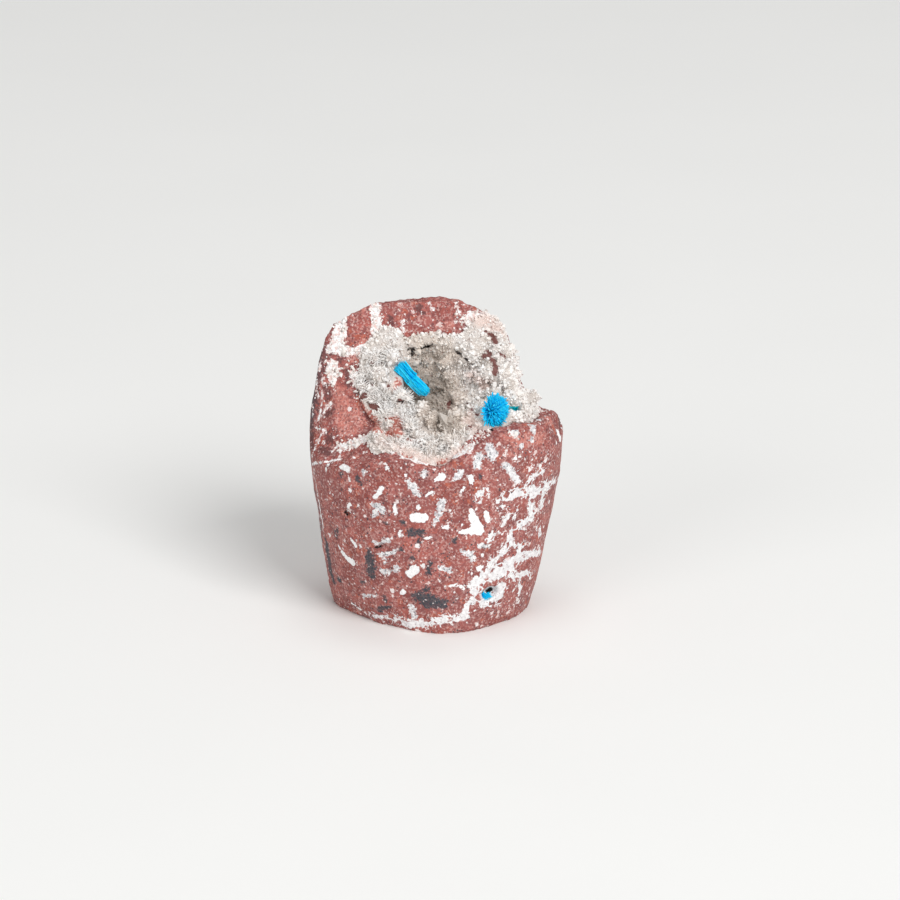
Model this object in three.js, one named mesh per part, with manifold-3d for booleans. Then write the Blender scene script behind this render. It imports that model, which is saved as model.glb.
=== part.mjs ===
// A cavansite hand specimen: a stump of red breccia with a sawn wall and a broken, hollowed top.
// A white zeolite crust lines the hollow, and blue cavansite sprays grow on the crust and in a small pit.
// Millimetres, +Z up, +Y away from the viewer. The stump stands on its sawn base at z = 0.
import * as THREE from "three";
import { mergeVertices } from "three/addons/utils/BufferGeometryUtils.js";
import { ImprovedNoise } from "three/addons/math/ImprovedNoise.js";
import Module from "manifold-3d";

const wasm = await Module();
wasm.setup();

// Driving dimensions
const WIDTH = 39; // left to right, across the shoulder
const DEPTH = 33; // front to back, at the same height
const HEIGHT = 46; // base to the top of the back rim
const CRUST = 1.9; // room that the zeolite crust has in the rock, under the hollow
const PROUD = 0.5; // how far the crust stands out of the broken face around it
const GAP = 0.3; // clearance between pieces that grew against each other

// Stump: how far it reaches from its axis at each height, as shares of HEIGHT, WIDTH / 2 and DEPTH / 2.
// Corner is the exponent of the outline's front left quarter: 2 is an ellipse, and less cuts that corner off.
const STUMP_LEVELS = [
  { up: 0, left: 0.83, right: 0.73, front: 0.86, back: 0.8, corner: 1.42 },
  { up: 0.17, left: 0.89, right: 0.83, front: 0.92, back: 0.88, corner: 1.75 },
  { up: 0.36, left: 0.95, right: 0.92, front: 0.97, back: 0.95, corner: 1.95 },
  { up: 0.56, left: 1, right: 0.99, front: 1, back: 1, corner: 2.05 },
  { up: 0.6, left: 1, right: 1, front: 1, back: 1, corner: 2.05 },
  { up: 0.66, left: 0.99, right: 0.94, front: 1, back: 1, corner: 2.05 },
  { up: 0.75, left: 0.96, right: 0.8, front: 0.98, back: 0.98, corner: 2.05 },
  { up: 0.86, left: 0.92, right: 0.68, front: 0.92, back: 0.92, corner: 2.1 },
  { up: 0.94, left: 0.86, right: 0.57, front: 0.8, back: 0.8, corner: 2.2 },
  { up: 1, left: 0.66, right: 0.36, front: 0.5, back: 0.56, corner: 2.2 },
];
const OTHER_CORNERS = 1.95; // exponent of the other three quarters
const STUMP_SIDES = 46;
const STUMP_RINGS = 15;
const WALL_LUMP = { size: 0.4, wave: 8 };
const WALL_GRAIN = { size: 0.14, wave: 2.6 };
const EDGE_CHIP = { size: 0.9, wave: 3.2 }; // along the base's edge

// Break: a scoop from the front ridge up to the back rim, given at stations across the width.
// Shares of WIDTH / 2, HEIGHT and DEPTH / 2, and the slope of the face behind the rim.
const BREAK_STATIONS = [
  { across: -1.05, ridge: 0.54, rim: 0.95, rimBack: 0.3, behind: 1 },
  { across: -0.72, ridge: 0.565, rim: 1, rimBack: 0.34, behind: 1 },
  { across: -0.3, ridge: 0.62, rim: 1.01, rimBack: 0.42, behind: 1 },
  { across: 0.02, ridge: 0.585, rim: 1.01, rimBack: 0.46, behind: 1 },
  { across: 0.25, ridge: 0.655, rim: 0.995, rimBack: 0.46, behind: 1 },
  { across: 0.42, ridge: 0.68, rim: 0.97, rimBack: 0.42, behind: 0.8 },
  { across: 0.52, ridge: 0.69, rim: 0.93, rimBack: 0.4, behind: 0.6 },
  { across: 0.6, ridge: 0.69, rim: 0.82, rimBack: 0.36, behind: 0.1 },
  { across: 0.67, ridge: 0.69, rim: 0.69, rimBack: 0.34, behind: -0.5 },
  { across: 0.76, ridge: 0.685, rim: 0.65, rimBack: 0.34, behind: -0.5 },
  { across: 0.86, ridge: 0.69, rim: 0.63, rimBack: 0.34, behind: -0.5 },
  { across: 0.95, ridge: 0.68, rim: 0.615, rimBack: 0.34, behind: -0.5 },
  { across: 1.05, ridge: 0.62, rim: 0.55, rimBack: 0.34, behind: -0.5 },
];
const SCOOP = 1.9; // exponent of the scoop: 1 is a straight ramp
const BREAK_LUMP = { size: 0.7, wave: 5.5 };
const BREAK_GRAIN = { size: 0.35, wave: 2 };
const BREAK_CELLS = 28; // along each side of the block of air above the break
const AIR_BLOCK = 1.12 * WIDTH; // side of that block
const AIR_WAY_OUT = new THREE.Vector3(0.35, -0.6, 0.72); // the way that the broken face looks

// Hollows in the break that the crust lines, and aprons where it fills the break to the brim.
// Each has a middle, radii, and the tilt that turns its third radius to the face.
const HOLLOWS = [
  { at: [1.4, -2, 36], radii: [7.4, 7, 4.6], tilt: 46 },
  { at: [9, -4.6, 34.6], radii: [4, 5, 2.2], tilt: 42 },
];
const APRONS = [
  { at: [-0.4, -8.6, 29.4], radii: [9.6, 7, 3], tilt: 22 },
  { at: [-7.6, -1, 36.6], radii: [4.6, 8, 2.4], tilt: 46 },
  { at: [8.2, 2.5, 40], radii: [5.2, 5.6, 2.6], tilt: 56 },
  { at: [10.6, -1.5, 35.4], radii: [3.2, 7, 3], tilt: 48 },
  { at: [12.8, -1.2, 31.6], radii: [2.8, 6.2, 2.2], tilt: 0 },
  { at: [8.4, -8, 32], radii: [3.2, 3.6, 1.8], tilt: 24 },
];
const HOLLOW_DETAIL = 2;
const HOLLOW_LUMP = { size: 0.2, wave: 0.7 }; // shares of the radius

// Pits, each a small lump cut out of the rock
const CLEFTS = [
  { at: [-3.9, 3.4, 39.3], radii: [1, 3.6, 1], tilt: 0 },
  { at: [-1.4, 4, 40.2], radii: [1.4, 2.6, 0.6], tilt: 0 },
]; // dark gaps over the crust
const POCKET = { at: [8.2, -12.8, 6], radii: [1.5, 2, 1.15], tilt: 0 }; // in the white vein, low on the wall
const WALL_PITS = [
  { at: [-13.4, -11.2, 18.3], radii: [0.8, 0.9, 0.6], tilt: 0 },
  { at: [-8.3, -13.9, 14.1], radii: [1.1, 0.8, 0.5], tilt: 0 },
];
const PIT_DETAIL = 1;

// Zeolite crystals: stubby wedges that stand on the crust
const WEDGE = { width: 1.9, thickness: 1.3, length: 2.8, chisel: 0.35, sunk: 0.42, lean: 0.5 };
const WEDGE_COUNT = 45;
const WEDGE_SPACING = 1.9;
const WEDGE_SIZES = { least: 0.7, most: 1.3 }; // shares of the size above
const WEDGE_SEED = 7;
const WEDGE_TRIES = 4000;

// Cavansite sprays: core, the way each looks, blade count and size, and how wide the blades fan out.
// A sheaf has blades both ways along its axis, and its back fan is how wide the other end is.
// Sideways is how far the blades of a narrow spray reach to the left and right, as a share of the length.
const SPRAYS = {
  cavansite_sheaf: {
    core: [-3.6, -1.13, 36.22],
    toward: [0.71, -0.3, -0.63],
    blades: 7,
    length: 3.5,
    radius: 0.56,
    fan: 8,
    backFan: 15,
    seed: 11,
  },
  cavansite_rosette: {
    core: [8.9, -9, 33.6],
    toward: [-0.1, -0.85, 0.5],
    blades: 24,
    length: 2.7,
    radius: 0.46,
    fan: 95,
    sideways: 0.7,
    seed: 23,
  },
  cavansite_sprig: {
    core: [11.8, -5.7, 32.7],
    toward: [0.4, -0.6, 0.6],
    blades: 6,
    length: 1.1,
    radius: 0.24,
    fan: 55,
    seed: 31,
  },
  cavansite_in_pit: {
    core: [7.5, -12.3, 5.5],
    toward: [0.3, -0.8, 0.3],
    blades: 6,
    length: 0.9,
    radius: 0.22,
    fan: 60,
    seed: 43,
  },
};
const BLADE_SIDES = 4;
const BLADE_LENGTHS = { least: 0.8, most: 1 }; // shares of the spray's length
const BLADE_SHOULDER = { out: 1.2, along: 0.72 }; // where the blade is widest, before its point
const CORE_SHARE = 0.3; // radius of the knot that the blades grow from, as a share of their length

// Finishes
const BRECCIA = new THREE.MeshStandardMaterial({ color: 0x99544c, roughness: 0.85, metalness: 0 });
const ZEOLITE = new THREE.MeshStandardMaterial({ color: 0xe2ddd6, roughness: 0.35, metalness: 0 });
const CAVANSITE = new THREE.MeshStandardMaterial({ color: 0x0a9fe0, roughness: 0.4, metalness: 0 });

const MERGE = 1e-4; // vertices nearer than this are one

const UP = new THREE.Vector3(0, 0, 1);
const noise = new ImprovedNoise();
const random = THREE.MathUtils.seededRandom;

// A seeded random number between two limits
function between({ least, most }) {
  return least + (most - least) * random();
}

// The turn that takes +Z to a direction
function turnTo(direction) {
  return new THREE.Quaternion().setFromUnitVectors(UP, direction);
}

// Smooth relief at a point: about -size to size, with lumps one wave across
function relief(point, { size, wave }) {
  return size * noise.noise(point.x / wave, point.y / wave, point.z / wave);
}

// Moves every vertex of a geometry with a function that changes the point it is given
function shape(geometry, move) {
  const position = geometry.getAttribute("position");
  const point = new THREE.Vector3();
  for (let i = 0; i < position.count; i++) {
    move(point.fromBufferAttribute(position, i));
    position.setXYZ(i, point.x, point.y, point.z);
  }
  return geometry;
}

// A closed three.js geometry as a solid that can be joined and cut
function solid(geometry) {
  geometry.deleteAttribute("normal");
  geometry.deleteAttribute("uv");
  const merged = mergeVertices(geometry, MERGE);
  return new wasm.Manifold(
    new wasm.Mesh({
      numProp: 3,
      vertProperties: new Float32Array(merged.getAttribute("position").array),
      triVerts: new Uint32Array(merged.index.array),
    }),
  );
}

// A solid as a named mesh
function piece(name, body, material) {
  const { vertProperties, triVerts } = body.getMesh();
  const geometry = new THREE.BufferGeometry()
    .setAttribute("position", new THREE.BufferAttribute(vertProperties, 3))
    .setIndex(new THREE.BufferAttribute(triVerts, 1));
  geometry.computeVertexNormals();
  const made = new THREE.Mesh(geometry, material);
  made.name = name;
  return made;
}

// The largest of the separate bodies that a cut leaves
function largest(body) {
  return body.decompose().reduce((most, each) => (each.volume() > most.volume() ? each : most));
}

const stumpReach = new THREE.CubicInterpolant(
  STUMP_LEVELS.map((level) => level.up * HEIGHT),
  STUMP_LEVELS.flatMap((level) => [
    (level.left * WIDTH) / 2,
    (level.right * WIDTH) / 2,
    (level.front * DEPTH) / 2,
    (level.back * DEPTH) / 2,
    level.corner,
  ]),
  5,
);

// Distance from the axis to the stump's wall at an angle and a height
function wallRadius(angle, height) {
  const [left, right, front, back, corner] = stumpReach.evaluate(height);
  const x = Math.cos(angle);
  const y = Math.sin(angle);
  const across = Math.abs(x) / (x < 0 ? left : right);
  const along = Math.abs(y) / (y < 0 ? front : back);
  const exponent = x < 0 && y < 0 ? corner : OTHER_CORNERS;
  return (across ** exponent + along ** exponent) ** (-1 / exponent);
}

// The whole stump, before its top was broken off
function stump() {
  const profile = [new THREE.Vector2(0, 0)];
  for (let ring = 0; ring <= STUMP_RINGS; ring++) {
    profile.push(new THREE.Vector2(1, (HEIGHT * ring) / STUMP_RINGS));
  }
  profile.push(new THREE.Vector2(0, HEIGHT));
  const geometry = new THREE.LatheGeometry(profile, STUMP_SIDES).rotateX(Math.PI / 2);
  return solid(
    shape(geometry, (point) => {
      const onWall = Math.hypot(point.x, point.y);
      const angle = Math.atan2(point.y, point.x);
      const radius = wallRadius(angle, point.z);
      point.x = onWall * radius * Math.cos(angle);
      point.y = onWall * radius * Math.sin(angle);
      const atBase = point.z < MERGE;
      const worn = atBase ? -Math.abs(relief(point, EDGE_CHIP)) : relief(point, WALL_GRAIN);
      const factor = 1 + (relief(point, WALL_LUMP) + worn) / radius;
      point.x *= factor;
      point.y *= factor;
    }),
  );
}

const breakStation = new THREE.LinearInterpolant(
  BREAK_STATIONS.map((station) => (station.across * WIDTH) / 2),
  BREAK_STATIONS.flatMap((station) => [
    station.ridge * HEIGHT,
    station.rim * HEIGHT,
    (station.rimBack * DEPTH) / 2,
    station.behind,
  ]),
  4,
);

// Height of the broken face over a point of the plan
function breakHeight(x, y) {
  const [ridge, rim, rimBack, behind] = breakStation.evaluate(x);
  const across = Math.min(1, Math.abs(x) / (WIDTH / 2));
  const ridgeFront = (-DEPTH / 2) * Math.sqrt(1 - across ** 2);
  const along = Math.max(0, (y - ridgeFront) / (rimBack - ridgeFront));
  const climb = along < 1 ? rim - (rim - ridge) * (1 - along ** SCOOP) : rim + behind * (y - rimBack);
  const point = new THREE.Vector3(x, y, climb);
  return climb + relief(point, BREAK_LUMP) + relief(point, BREAK_GRAIN);
}

// The air above the broken face, which can be lifted off it by a clearance
function airAboveBreak(clearance) {
  const cells = BREAK_CELLS;
  const geometry = new THREE.BoxGeometry(AIR_BLOCK, AIR_BLOCK, AIR_BLOCK, cells, cells, 1);
  shape(geometry, (point) => {
    point.z = point.z < 0 ? breakHeight(point.x, point.y) : HEIGHT + AIR_BLOCK;
  });
  const lift = AIR_WAY_OUT.clone().normalize().multiplyScalar(clearance);
  return solid(geometry.translate(lift.x, lift.y, lift.z));
}

// A lumpy ellipsoid, for a hollow or a pit, with its radii grown by an amount
function lump({ at, radii, tilt }, detail, grow) {
  const geometry = new THREE.IcosahedronGeometry(1, detail);
  const seedOffset = new THREE.Vector3(...at);
  shape(geometry, (point) => {
    const swell = 1 + relief(point.clone().add(seedOffset), HOLLOW_LUMP);
    point.set(...radii.map((radius, axis) => point.getComponent(axis) * swell * (radius + grow)));
  });
  geometry.rotateX(THREE.MathUtils.degToRad(tilt)).translate(...at);
  return solid(geometry);
}

// Several such lumps joined
function lumps(list, detail, grow) {
  return wasm.Manifold.union(list.map((each) => lump(each, detail, grow)));
}

// A crystal blade along +Z, widest at its shoulder and pointed at its end
function blade(length, radius) {
  const profile = [
    new THREE.Vector2(0, 0),
    new THREE.Vector2(radius, 0),
    new THREE.Vector2(radius * BLADE_SHOULDER.out, length * BLADE_SHOULDER.along),
    new THREE.Vector2(0, length),
  ];
  return new THREE.LatheGeometry(profile, BLADE_SIDES).rotateX(Math.PI / 2);
}

// A direction within an angle of an axis, evenly spread over that cap by the place of the blade in the count
function fannedOut(axis, fan, index, count) {
  const turn = index * Math.PI * (3 - Math.sqrt(5));
  const off = THREE.MathUtils.degToRad(fan) * Math.sqrt((index + 0.5) / count);
  const local = new THREE.Vector3().setFromSphericalCoords(1, off, turn).applyAxisAngle(
    new THREE.Vector3(1, 0, 0),
    Math.PI / 2,
  );
  return local.applyQuaternion(turnTo(axis));
}

// A spray of blades from one core, with every blade grown by an amount
function spray({ core, toward, blades, length, radius, fan, backFan, sideways = 1, seed }, grow) {
  random(seed);
  const axis = new THREE.Vector3(...toward).normalize();
  const ends = [{ axis, fan }];
  if (backFan) ends.push({ axis: axis.clone().negate(), fan: backFan });
  const bodies = [solid(new THREE.IcosahedronGeometry(length * CORE_SHARE + grow, 0))];
  for (const end of ends) {
    for (let i = 0; i < blades; i++) {
      const direction = fannedOut(end.axis, end.fan, i, blades);
      const narrowing = Math.hypot(direction.x / sideways, direction.y, direction.z);
      const size = (length * between(BLADE_LENGTHS)) / narrowing;
      bodies.push(solid(blade(size + grow, radius + grow).applyQuaternion(turnTo(direction))));
    }
  }
  return wasm.Manifold.union(bodies).translate(core);
}

// A zeolite wedge along +Z, chisel-ended, sunk into what it stands on
function wedge(size) {
  const { width, thickness, length, chisel, sunk } = WEDGE;
  const geometry = new THREE.BoxGeometry(width * size, thickness * size, length * size);
  shape(geometry, (point) => {
    if (point.z > 0) point.x *= chisel;
    point.z += length * size * (0.5 - sunk);
  });
  return geometry;
}

// The triangles of a body that came from one of the solids it was cut with
function facesFrom(body, source) {
  const mesh = body.getMesh();
  const corner = (i) => new THREE.Vector3(...mesh.vertProperties.subarray(3 * i, 3 * i + 3));
  const faces = [];
  for (let run = 0; run < mesh.runOriginalID.length; run++) {
    if (mesh.runOriginalID[run] !== source.originalID()) continue;
    for (let i = mesh.runIndex[run]; i < mesh.runIndex[run + 1]; i += 3) {
      faces.push(new THREE.Triangle(...[0, 1, 2].map((k) => corner(mesh.triVerts[i + k]))));
    }
  }
  return faces;
}

// Whether a point lies under one of the sprays
function underSpray(point) {
  const sprays = Object.values(SPRAYS);
  return sprays.some(({ core, length }) => point.distanceTo(new THREE.Vector3(...core)) < length);
}

// Wedges scattered over a set of faces, inside the room there is, each leaning a little off its face's normal
function scatteredWedges(faces, room) {
  random(WEDGE_SEED);
  const reach = [];
  faces.reduce((sum, face) => reach[reach.push(sum + face.getArea()) - 1], 0);
  const roots = [];
  const wedges = [];
  for (let tries = 0; tries < WEDGE_TRIES && wedges.length < WEDGE_COUNT; tries++) {
    const pick = random() * reach.at(-1);
    const face = faces[reach.findIndex((end) => end >= pick)];
    const root = face.getMidpoint(new THREE.Vector3());
    if (roots.some((other) => other.distanceTo(root) < WEDGE_SPACING)) continue;
    if (underSpray(root)) continue;
    roots.push(root);
    const lean = new THREE.Vector3(random() - 0.5, random() - 0.5, random() - 0.5);
    const way = face.getNormal(new THREE.Vector3()).addScaledVector(lean, 2 * WEDGE.lean).normalize();
    const geometry = wedge(between(WEDGE_SIZES)).rotateZ(Math.PI * random());
    const body = solid(geometry.applyQuaternion(turnTo(way)).translate(root.x, root.y, root.z));
    if (body.subtract(room).isEmpty()) wedges.push(body);
  }
  return wasm.Manifold.union(wedges);
}

// The bed that the crust lies in, grown by an amount
function crustBed(grow) {
  return lumps(HOLLOWS, HOLLOW_DETAIL, CRUST + grow).add(lumps(APRONS, HOLLOW_DETAIL, grow));
}

const sprayRoom = wasm.Manifold.union(Object.values(SPRAYS).map((growth) => spray(growth, GAP)));

// The rock: the stump without the air above its break, the crust's bed, the pits and the sprays' room
function rock() {
  const cut = stump().subtract(airAboveBreak(0)).subtract(crustBed(0)).subtract(sprayRoom);
  return largest(cut.subtract(lumps([...CLEFTS, POCKET, ...WALL_PITS], PIT_DETAIL, 0)));
}

// The zeolite crust: a lining of the hollows, with wedges on its open side, clear of the rock and the sprays
function crust() {
  const bed = crustBed(-GAP);
  const open = lumps(HOLLOWS, HOLLOW_DETAIL, 0).add(airAboveBreak(PROUD)).asOriginal();
  const lining = bed.subtract(open);
  const room = bed.add(airAboveBreak(2 * GAP));
  const wedges = scatteredWedges(facesFrom(lining, open), room);
  return largest(lining.add(wedges).subtract(lumps(CLEFTS, PIT_DETAIL, 0)).subtract(sprayRoom));
}

const specimen = new THREE.Group();
specimen.add(piece("matrix", rock(), BRECCIA));
specimen.add(piece("zeolite_crust", crust(), ZEOLITE));
for (const [name, growth] of Object.entries(SPRAYS)) {
  specimen.add(piece(name, largest(spray(growth, 0)), CAVANSITE));
}

// The middle of the specimen's box stands over the origin
const middle = new THREE.Box3().setFromObject(specimen).getCenter(new THREE.Vector3());
specimen.children.forEach((each) => each.position.set(-middle.x, -middle.y, 0));

export default specimen;
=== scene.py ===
"""Looks of a cavansite specimen, laid over its solids.

A stump of red breccia stands on a sawn base. Its broken top is hollow and lined with white zeolite
crystals, and sprays of blue cavansite grew on them. Lengths are metres, unless a name or a docstring says
millimetres.
Marks on the stone are strokes of (x, y, half width) in pixels of the photograph. The camera's rays lay
them on the surface, so they stay on it from every side.
"""

import math

import bmesh
import bpy
import numpy as np
from bpy.props import FloatProperty, FloatVectorProperty, IntProperty, PointerProperty
from bpy.types import Operator, Panel, PropertyGroup
from mathutils import Matrix, Vector, noise
from mathutils.bvhtree import BVHTree


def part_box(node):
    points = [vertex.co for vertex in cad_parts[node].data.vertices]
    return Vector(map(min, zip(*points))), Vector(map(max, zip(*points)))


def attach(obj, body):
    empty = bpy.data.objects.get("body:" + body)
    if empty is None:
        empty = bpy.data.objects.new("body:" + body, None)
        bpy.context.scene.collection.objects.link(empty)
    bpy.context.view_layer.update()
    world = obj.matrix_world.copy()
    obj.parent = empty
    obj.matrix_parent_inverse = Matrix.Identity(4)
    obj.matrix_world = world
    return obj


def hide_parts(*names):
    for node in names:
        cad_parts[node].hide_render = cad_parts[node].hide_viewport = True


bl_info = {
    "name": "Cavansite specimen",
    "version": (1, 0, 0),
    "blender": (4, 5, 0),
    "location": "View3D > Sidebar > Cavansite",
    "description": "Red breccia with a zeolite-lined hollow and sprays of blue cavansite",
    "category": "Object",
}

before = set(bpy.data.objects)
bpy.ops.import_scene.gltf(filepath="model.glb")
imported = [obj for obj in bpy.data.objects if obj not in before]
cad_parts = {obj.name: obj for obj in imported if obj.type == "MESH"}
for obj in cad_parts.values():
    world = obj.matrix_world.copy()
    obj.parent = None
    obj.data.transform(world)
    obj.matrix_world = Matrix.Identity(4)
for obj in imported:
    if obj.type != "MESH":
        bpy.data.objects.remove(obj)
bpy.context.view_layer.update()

MM = 0.001
BODY = "root"
MERGE_DISTANCE = 1e-6
LEAST_SQUARE_MM = 1e-6
FAR_MM = 4.0

# The photograph's frame
PHOTO_SIDE = 900
PHOTO_CENTRE = PHOTO_SIDE / 2
PIXELS_PER_METRE = 6560.0
SENSOR_MM = 36.0
STROKE_STEP = 5.0
EDGE_NUDGE = 1.5
EDGE_NUDGES = 8
FINEST = 1.3

# Clean white clasts and thin lines on the sawn wall
WHITE_STROKES = {
    "bean": ((342.5, 466, 3.2), (347, 469, 3.4)),
    "bead": ((349.8, 489.8, 2.4),),
    "slanted chip": ((382, 488.5, 2.8), (375, 497.5, 2.0)),
    "upright chip": ((350, 504, 2.2), (348.5, 510.5, 2.0)),
    "slim chip": ((395, 505, 1.4), (396, 514, 1.8)),
    "slanted sliver": ((433, 491, 1.4), (426.5, 496, 1.4)),
    "small oval": ((418, 507, 2.8),),
    "broad oval": ((414, 517.5, 4.8), (423, 518, 5.2)),
    "corner block": ((436, 480, 2.0), (442, 476.5, 4.2)),
    "small crumb": ((387, 468.4, 2.4),),
    "dot": ((405.7, 475, 1.8),),
    "pale upright": ((399.6, 530, 1.2), (399, 536, 1.4)),
    "low chip": ((351, 539, 1.4), (356, 545, 2.4)),
    "left lath": ((339, 546.5, 1.4), (346, 557.5, 2.8), (352, 562.5, 4.4)),
    "bright pebble": ((409.5, 574, 4.2), (415, 569.5, 5.0)),
    "rim of oval": ((425, 539, 1.6), (431, 538, 1.6)),
    "low crumb": ((402.6, 592.4, 3.2),),
    "wedge": ((471.5, 510, 1.8), (473, 518, 4.2), (477, 528, 5.6)),
    "wedge foot": ((480, 531, 4.0), (470, 531, 3.8), (460, 532.5, 1.8)),
    "upper mate": ((470.5, 476, 2.4), (471.5, 482, 2.2)),
    "fleck": ((463.5, 487, 1.2), (461.5, 491.5, 1.4)),
    "low fleck": ((443, 528, 1.8), (449, 527, 1.8)),
    "pale dot": ((462.4, 524.7, 1.4),),
    "grain": ((480, 568, 3.8),),
    "pip": ((482.3, 555.7, 1.8),),
    "thin arc": ((444, 586.7, 0.8), (458.8, 584.7, 1.0), (464, 589, 0.8)),
    "streak": ((493.5, 531, 1.6), (489, 540, 1.8)),
    "splash": ((486, 513, 2.4), (488, 521, 2.6)),
    "edge line": ((312.6, 465.5, 0.9), (317, 490, 1.1), (322, 520, 1.1), (324, 535.7, 0.9)),
    "corner line": ((312, 464, 0.7), (341, 459, 0.8)),
    "right corner": ((557, 431, 3.0), (560, 438, 4.0)),
    "left rim": ((326, 470, 1.6), (329, 464, 1.4)),
    "foot fleck": ((352, 604, 1.6), (360, 609, 1.4)),
    "pit lip": ((487, 592, 5.0), (490, 587, 4.5)),
}

# White veins that net the red on the right of the wall and along the foot
NET_STROKES = {
    "head": ((532, 489, 4.4), (521.6, 492, 4.4), (512, 494.5, 5.6), (505, 498, 3.4)),
    "head rise": ((526, 486.5, 3.0), (534, 476, 2.0), (543, 470.6, 1.6)),
    "stem": ((531.6, 491, 4.2), (531.8, 504, 4.4), (531, 518, 4.0), (521, 525, 3.2)),
    "head right": ((532, 489, 3.2), (537, 492.5, 3.4), (544.5, 485, 3.8), (555, 481.5, 2.6)),
    "edge": ((544.8, 485, 4.0), (543.5, 497, 3.8), (541, 508, 2.8)),
    "edge pink": ((539, 527, 2.2), (540, 535, 2.6)),
    "fall": ((520, 525.5, 3.0), (512, 530, 3.0), (510, 538, 3.4), (505, 550, 3.4), (494, 561, 3.2)),
    "inner slant": ((509, 515, 2.2), (502.5, 526, 2.2)),
    "inner line": ((517, 511, 1.4), (513, 518, 1.4)),
    "inner bead": ((501.7, 507, 2.2),),
    "low slant": ((494.5, 535, 1.8), (489.5, 540.5, 1.8)),
    "fall foot": ((494, 561, 3.2), (483, 573, 3.4), (471, 585, 3.6)),
    "great": ((476, 583, 4.4), (486, 577, 6.4), (498, 572, 8.4), (509, 566, 8.2), (519, 558, 6.4)),
    "great end": ((519, 558, 6.0), (530, 554, 4.6), (540, 551, 3.6)),
    "great rise": ((519, 558, 4.6), (521, 547, 4.2), (514, 543, 2.4)),
    "pit rim": ((476, 590, 5.6), (484, 601, 6.6), (496, 600, 6.6), (501, 588, 6.8)),
    "right foot": ((509, 572, 5.8), (517, 577, 4.2), (521, 585, 3.6), (519, 593, 2.6)),
    "right bar": ((516, 576, 3.4), (528, 572, 3.2), (532, 577, 2.4)),
    "left fall": ((478, 596, 4.6), (467, 606, 4.2), (464, 617, 4.2)),
    "foot band": ((372.6, 616, 2.2), (388, 617, 3.2), (399.4, 621, 3.4), (407, 625, 3.6)),
    "foot band end": ((407, 625, 3.6), (420, 624, 3.8), (439, 621, 3.6), (466, 616, 4.2)),
    "ledge knot": ((485, 492, 4.2), (478.5, 495, 3.6), (479, 502, 2.2)),
    "ledge streak": ((514, 475, 3.4), (518, 481, 3.4)),
}

# Mottled grey to lavender clasts
GREY_STROKES = {
    "grey cluster": ((373, 505, 3.6), (379, 507, 5.0), (383, 511, 4.0)),
    "cluster leg": ((376, 512, 2.6), (373, 516, 1.8)),
    "lath": ((407, 480, 1.8), (412, 486, 4.0), (417, 494, 3.8)),
    "leaning lath": ((435, 523.7, 2.4), (442.8, 502, 4.0)),
    "pink chip": ((363.7, 472, 3.0),),
    "lavender chip": ((424, 473.4, 3.8),),
    "bluish chip": ((480, 545.8, 2.8), (488, 546, 3.0)),
    "tan sliver": ((363, 596, 1.8), (375, 596, 1.8)),
    "slit oval": ((374, 541.5, 2.2), (381, 543, 2.6), (388, 540, 2.0)),
    "tee bar": ((379, 554, 1.8), (387, 553.5, 2.2), (395, 551, 2.6)),
    "tee stem": ((385, 555, 1.6), (385, 562.5, 1.2)),
    "striped pebble": ((396.5, 569, 3.8),),
    "ring": ((381.5, 571, 2.6), (389, 572, 2.6)),
    "low lath": ((412, 606, 2.6), (414, 617, 3.2)),
    "mottled block": ((462.5, 551.5, 1.8), (470, 555, 4.0), (474.5, 560, 2.6)),
    "lower block": ((440.5, 568, 3.0), (448, 570.5, 3.4)),
    "ledge lilac": ((505, 465, 4.0), (511, 470, 4.4)),
    "upper block": ((455.5, 478, 2.6), (460, 473.5, 4.4)),
    "lip lilac": ((489, 447, 5.0), (493, 455, 5.4)),
    "lip mate": ((479, 457, 5.0), (477, 466, 4.0)),
    "ledge side": ((521, 446, 3.2),),
    "ledge bead": ((532, 440, 3.6),),
    "ledge beige": ((532, 425, 4.2), (533, 430, 3.6)),
    "ledge crystal": ((517, 433, 3.8),),
    "ledge pearl": ((539, 419.5, 2.8),),
}

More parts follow.
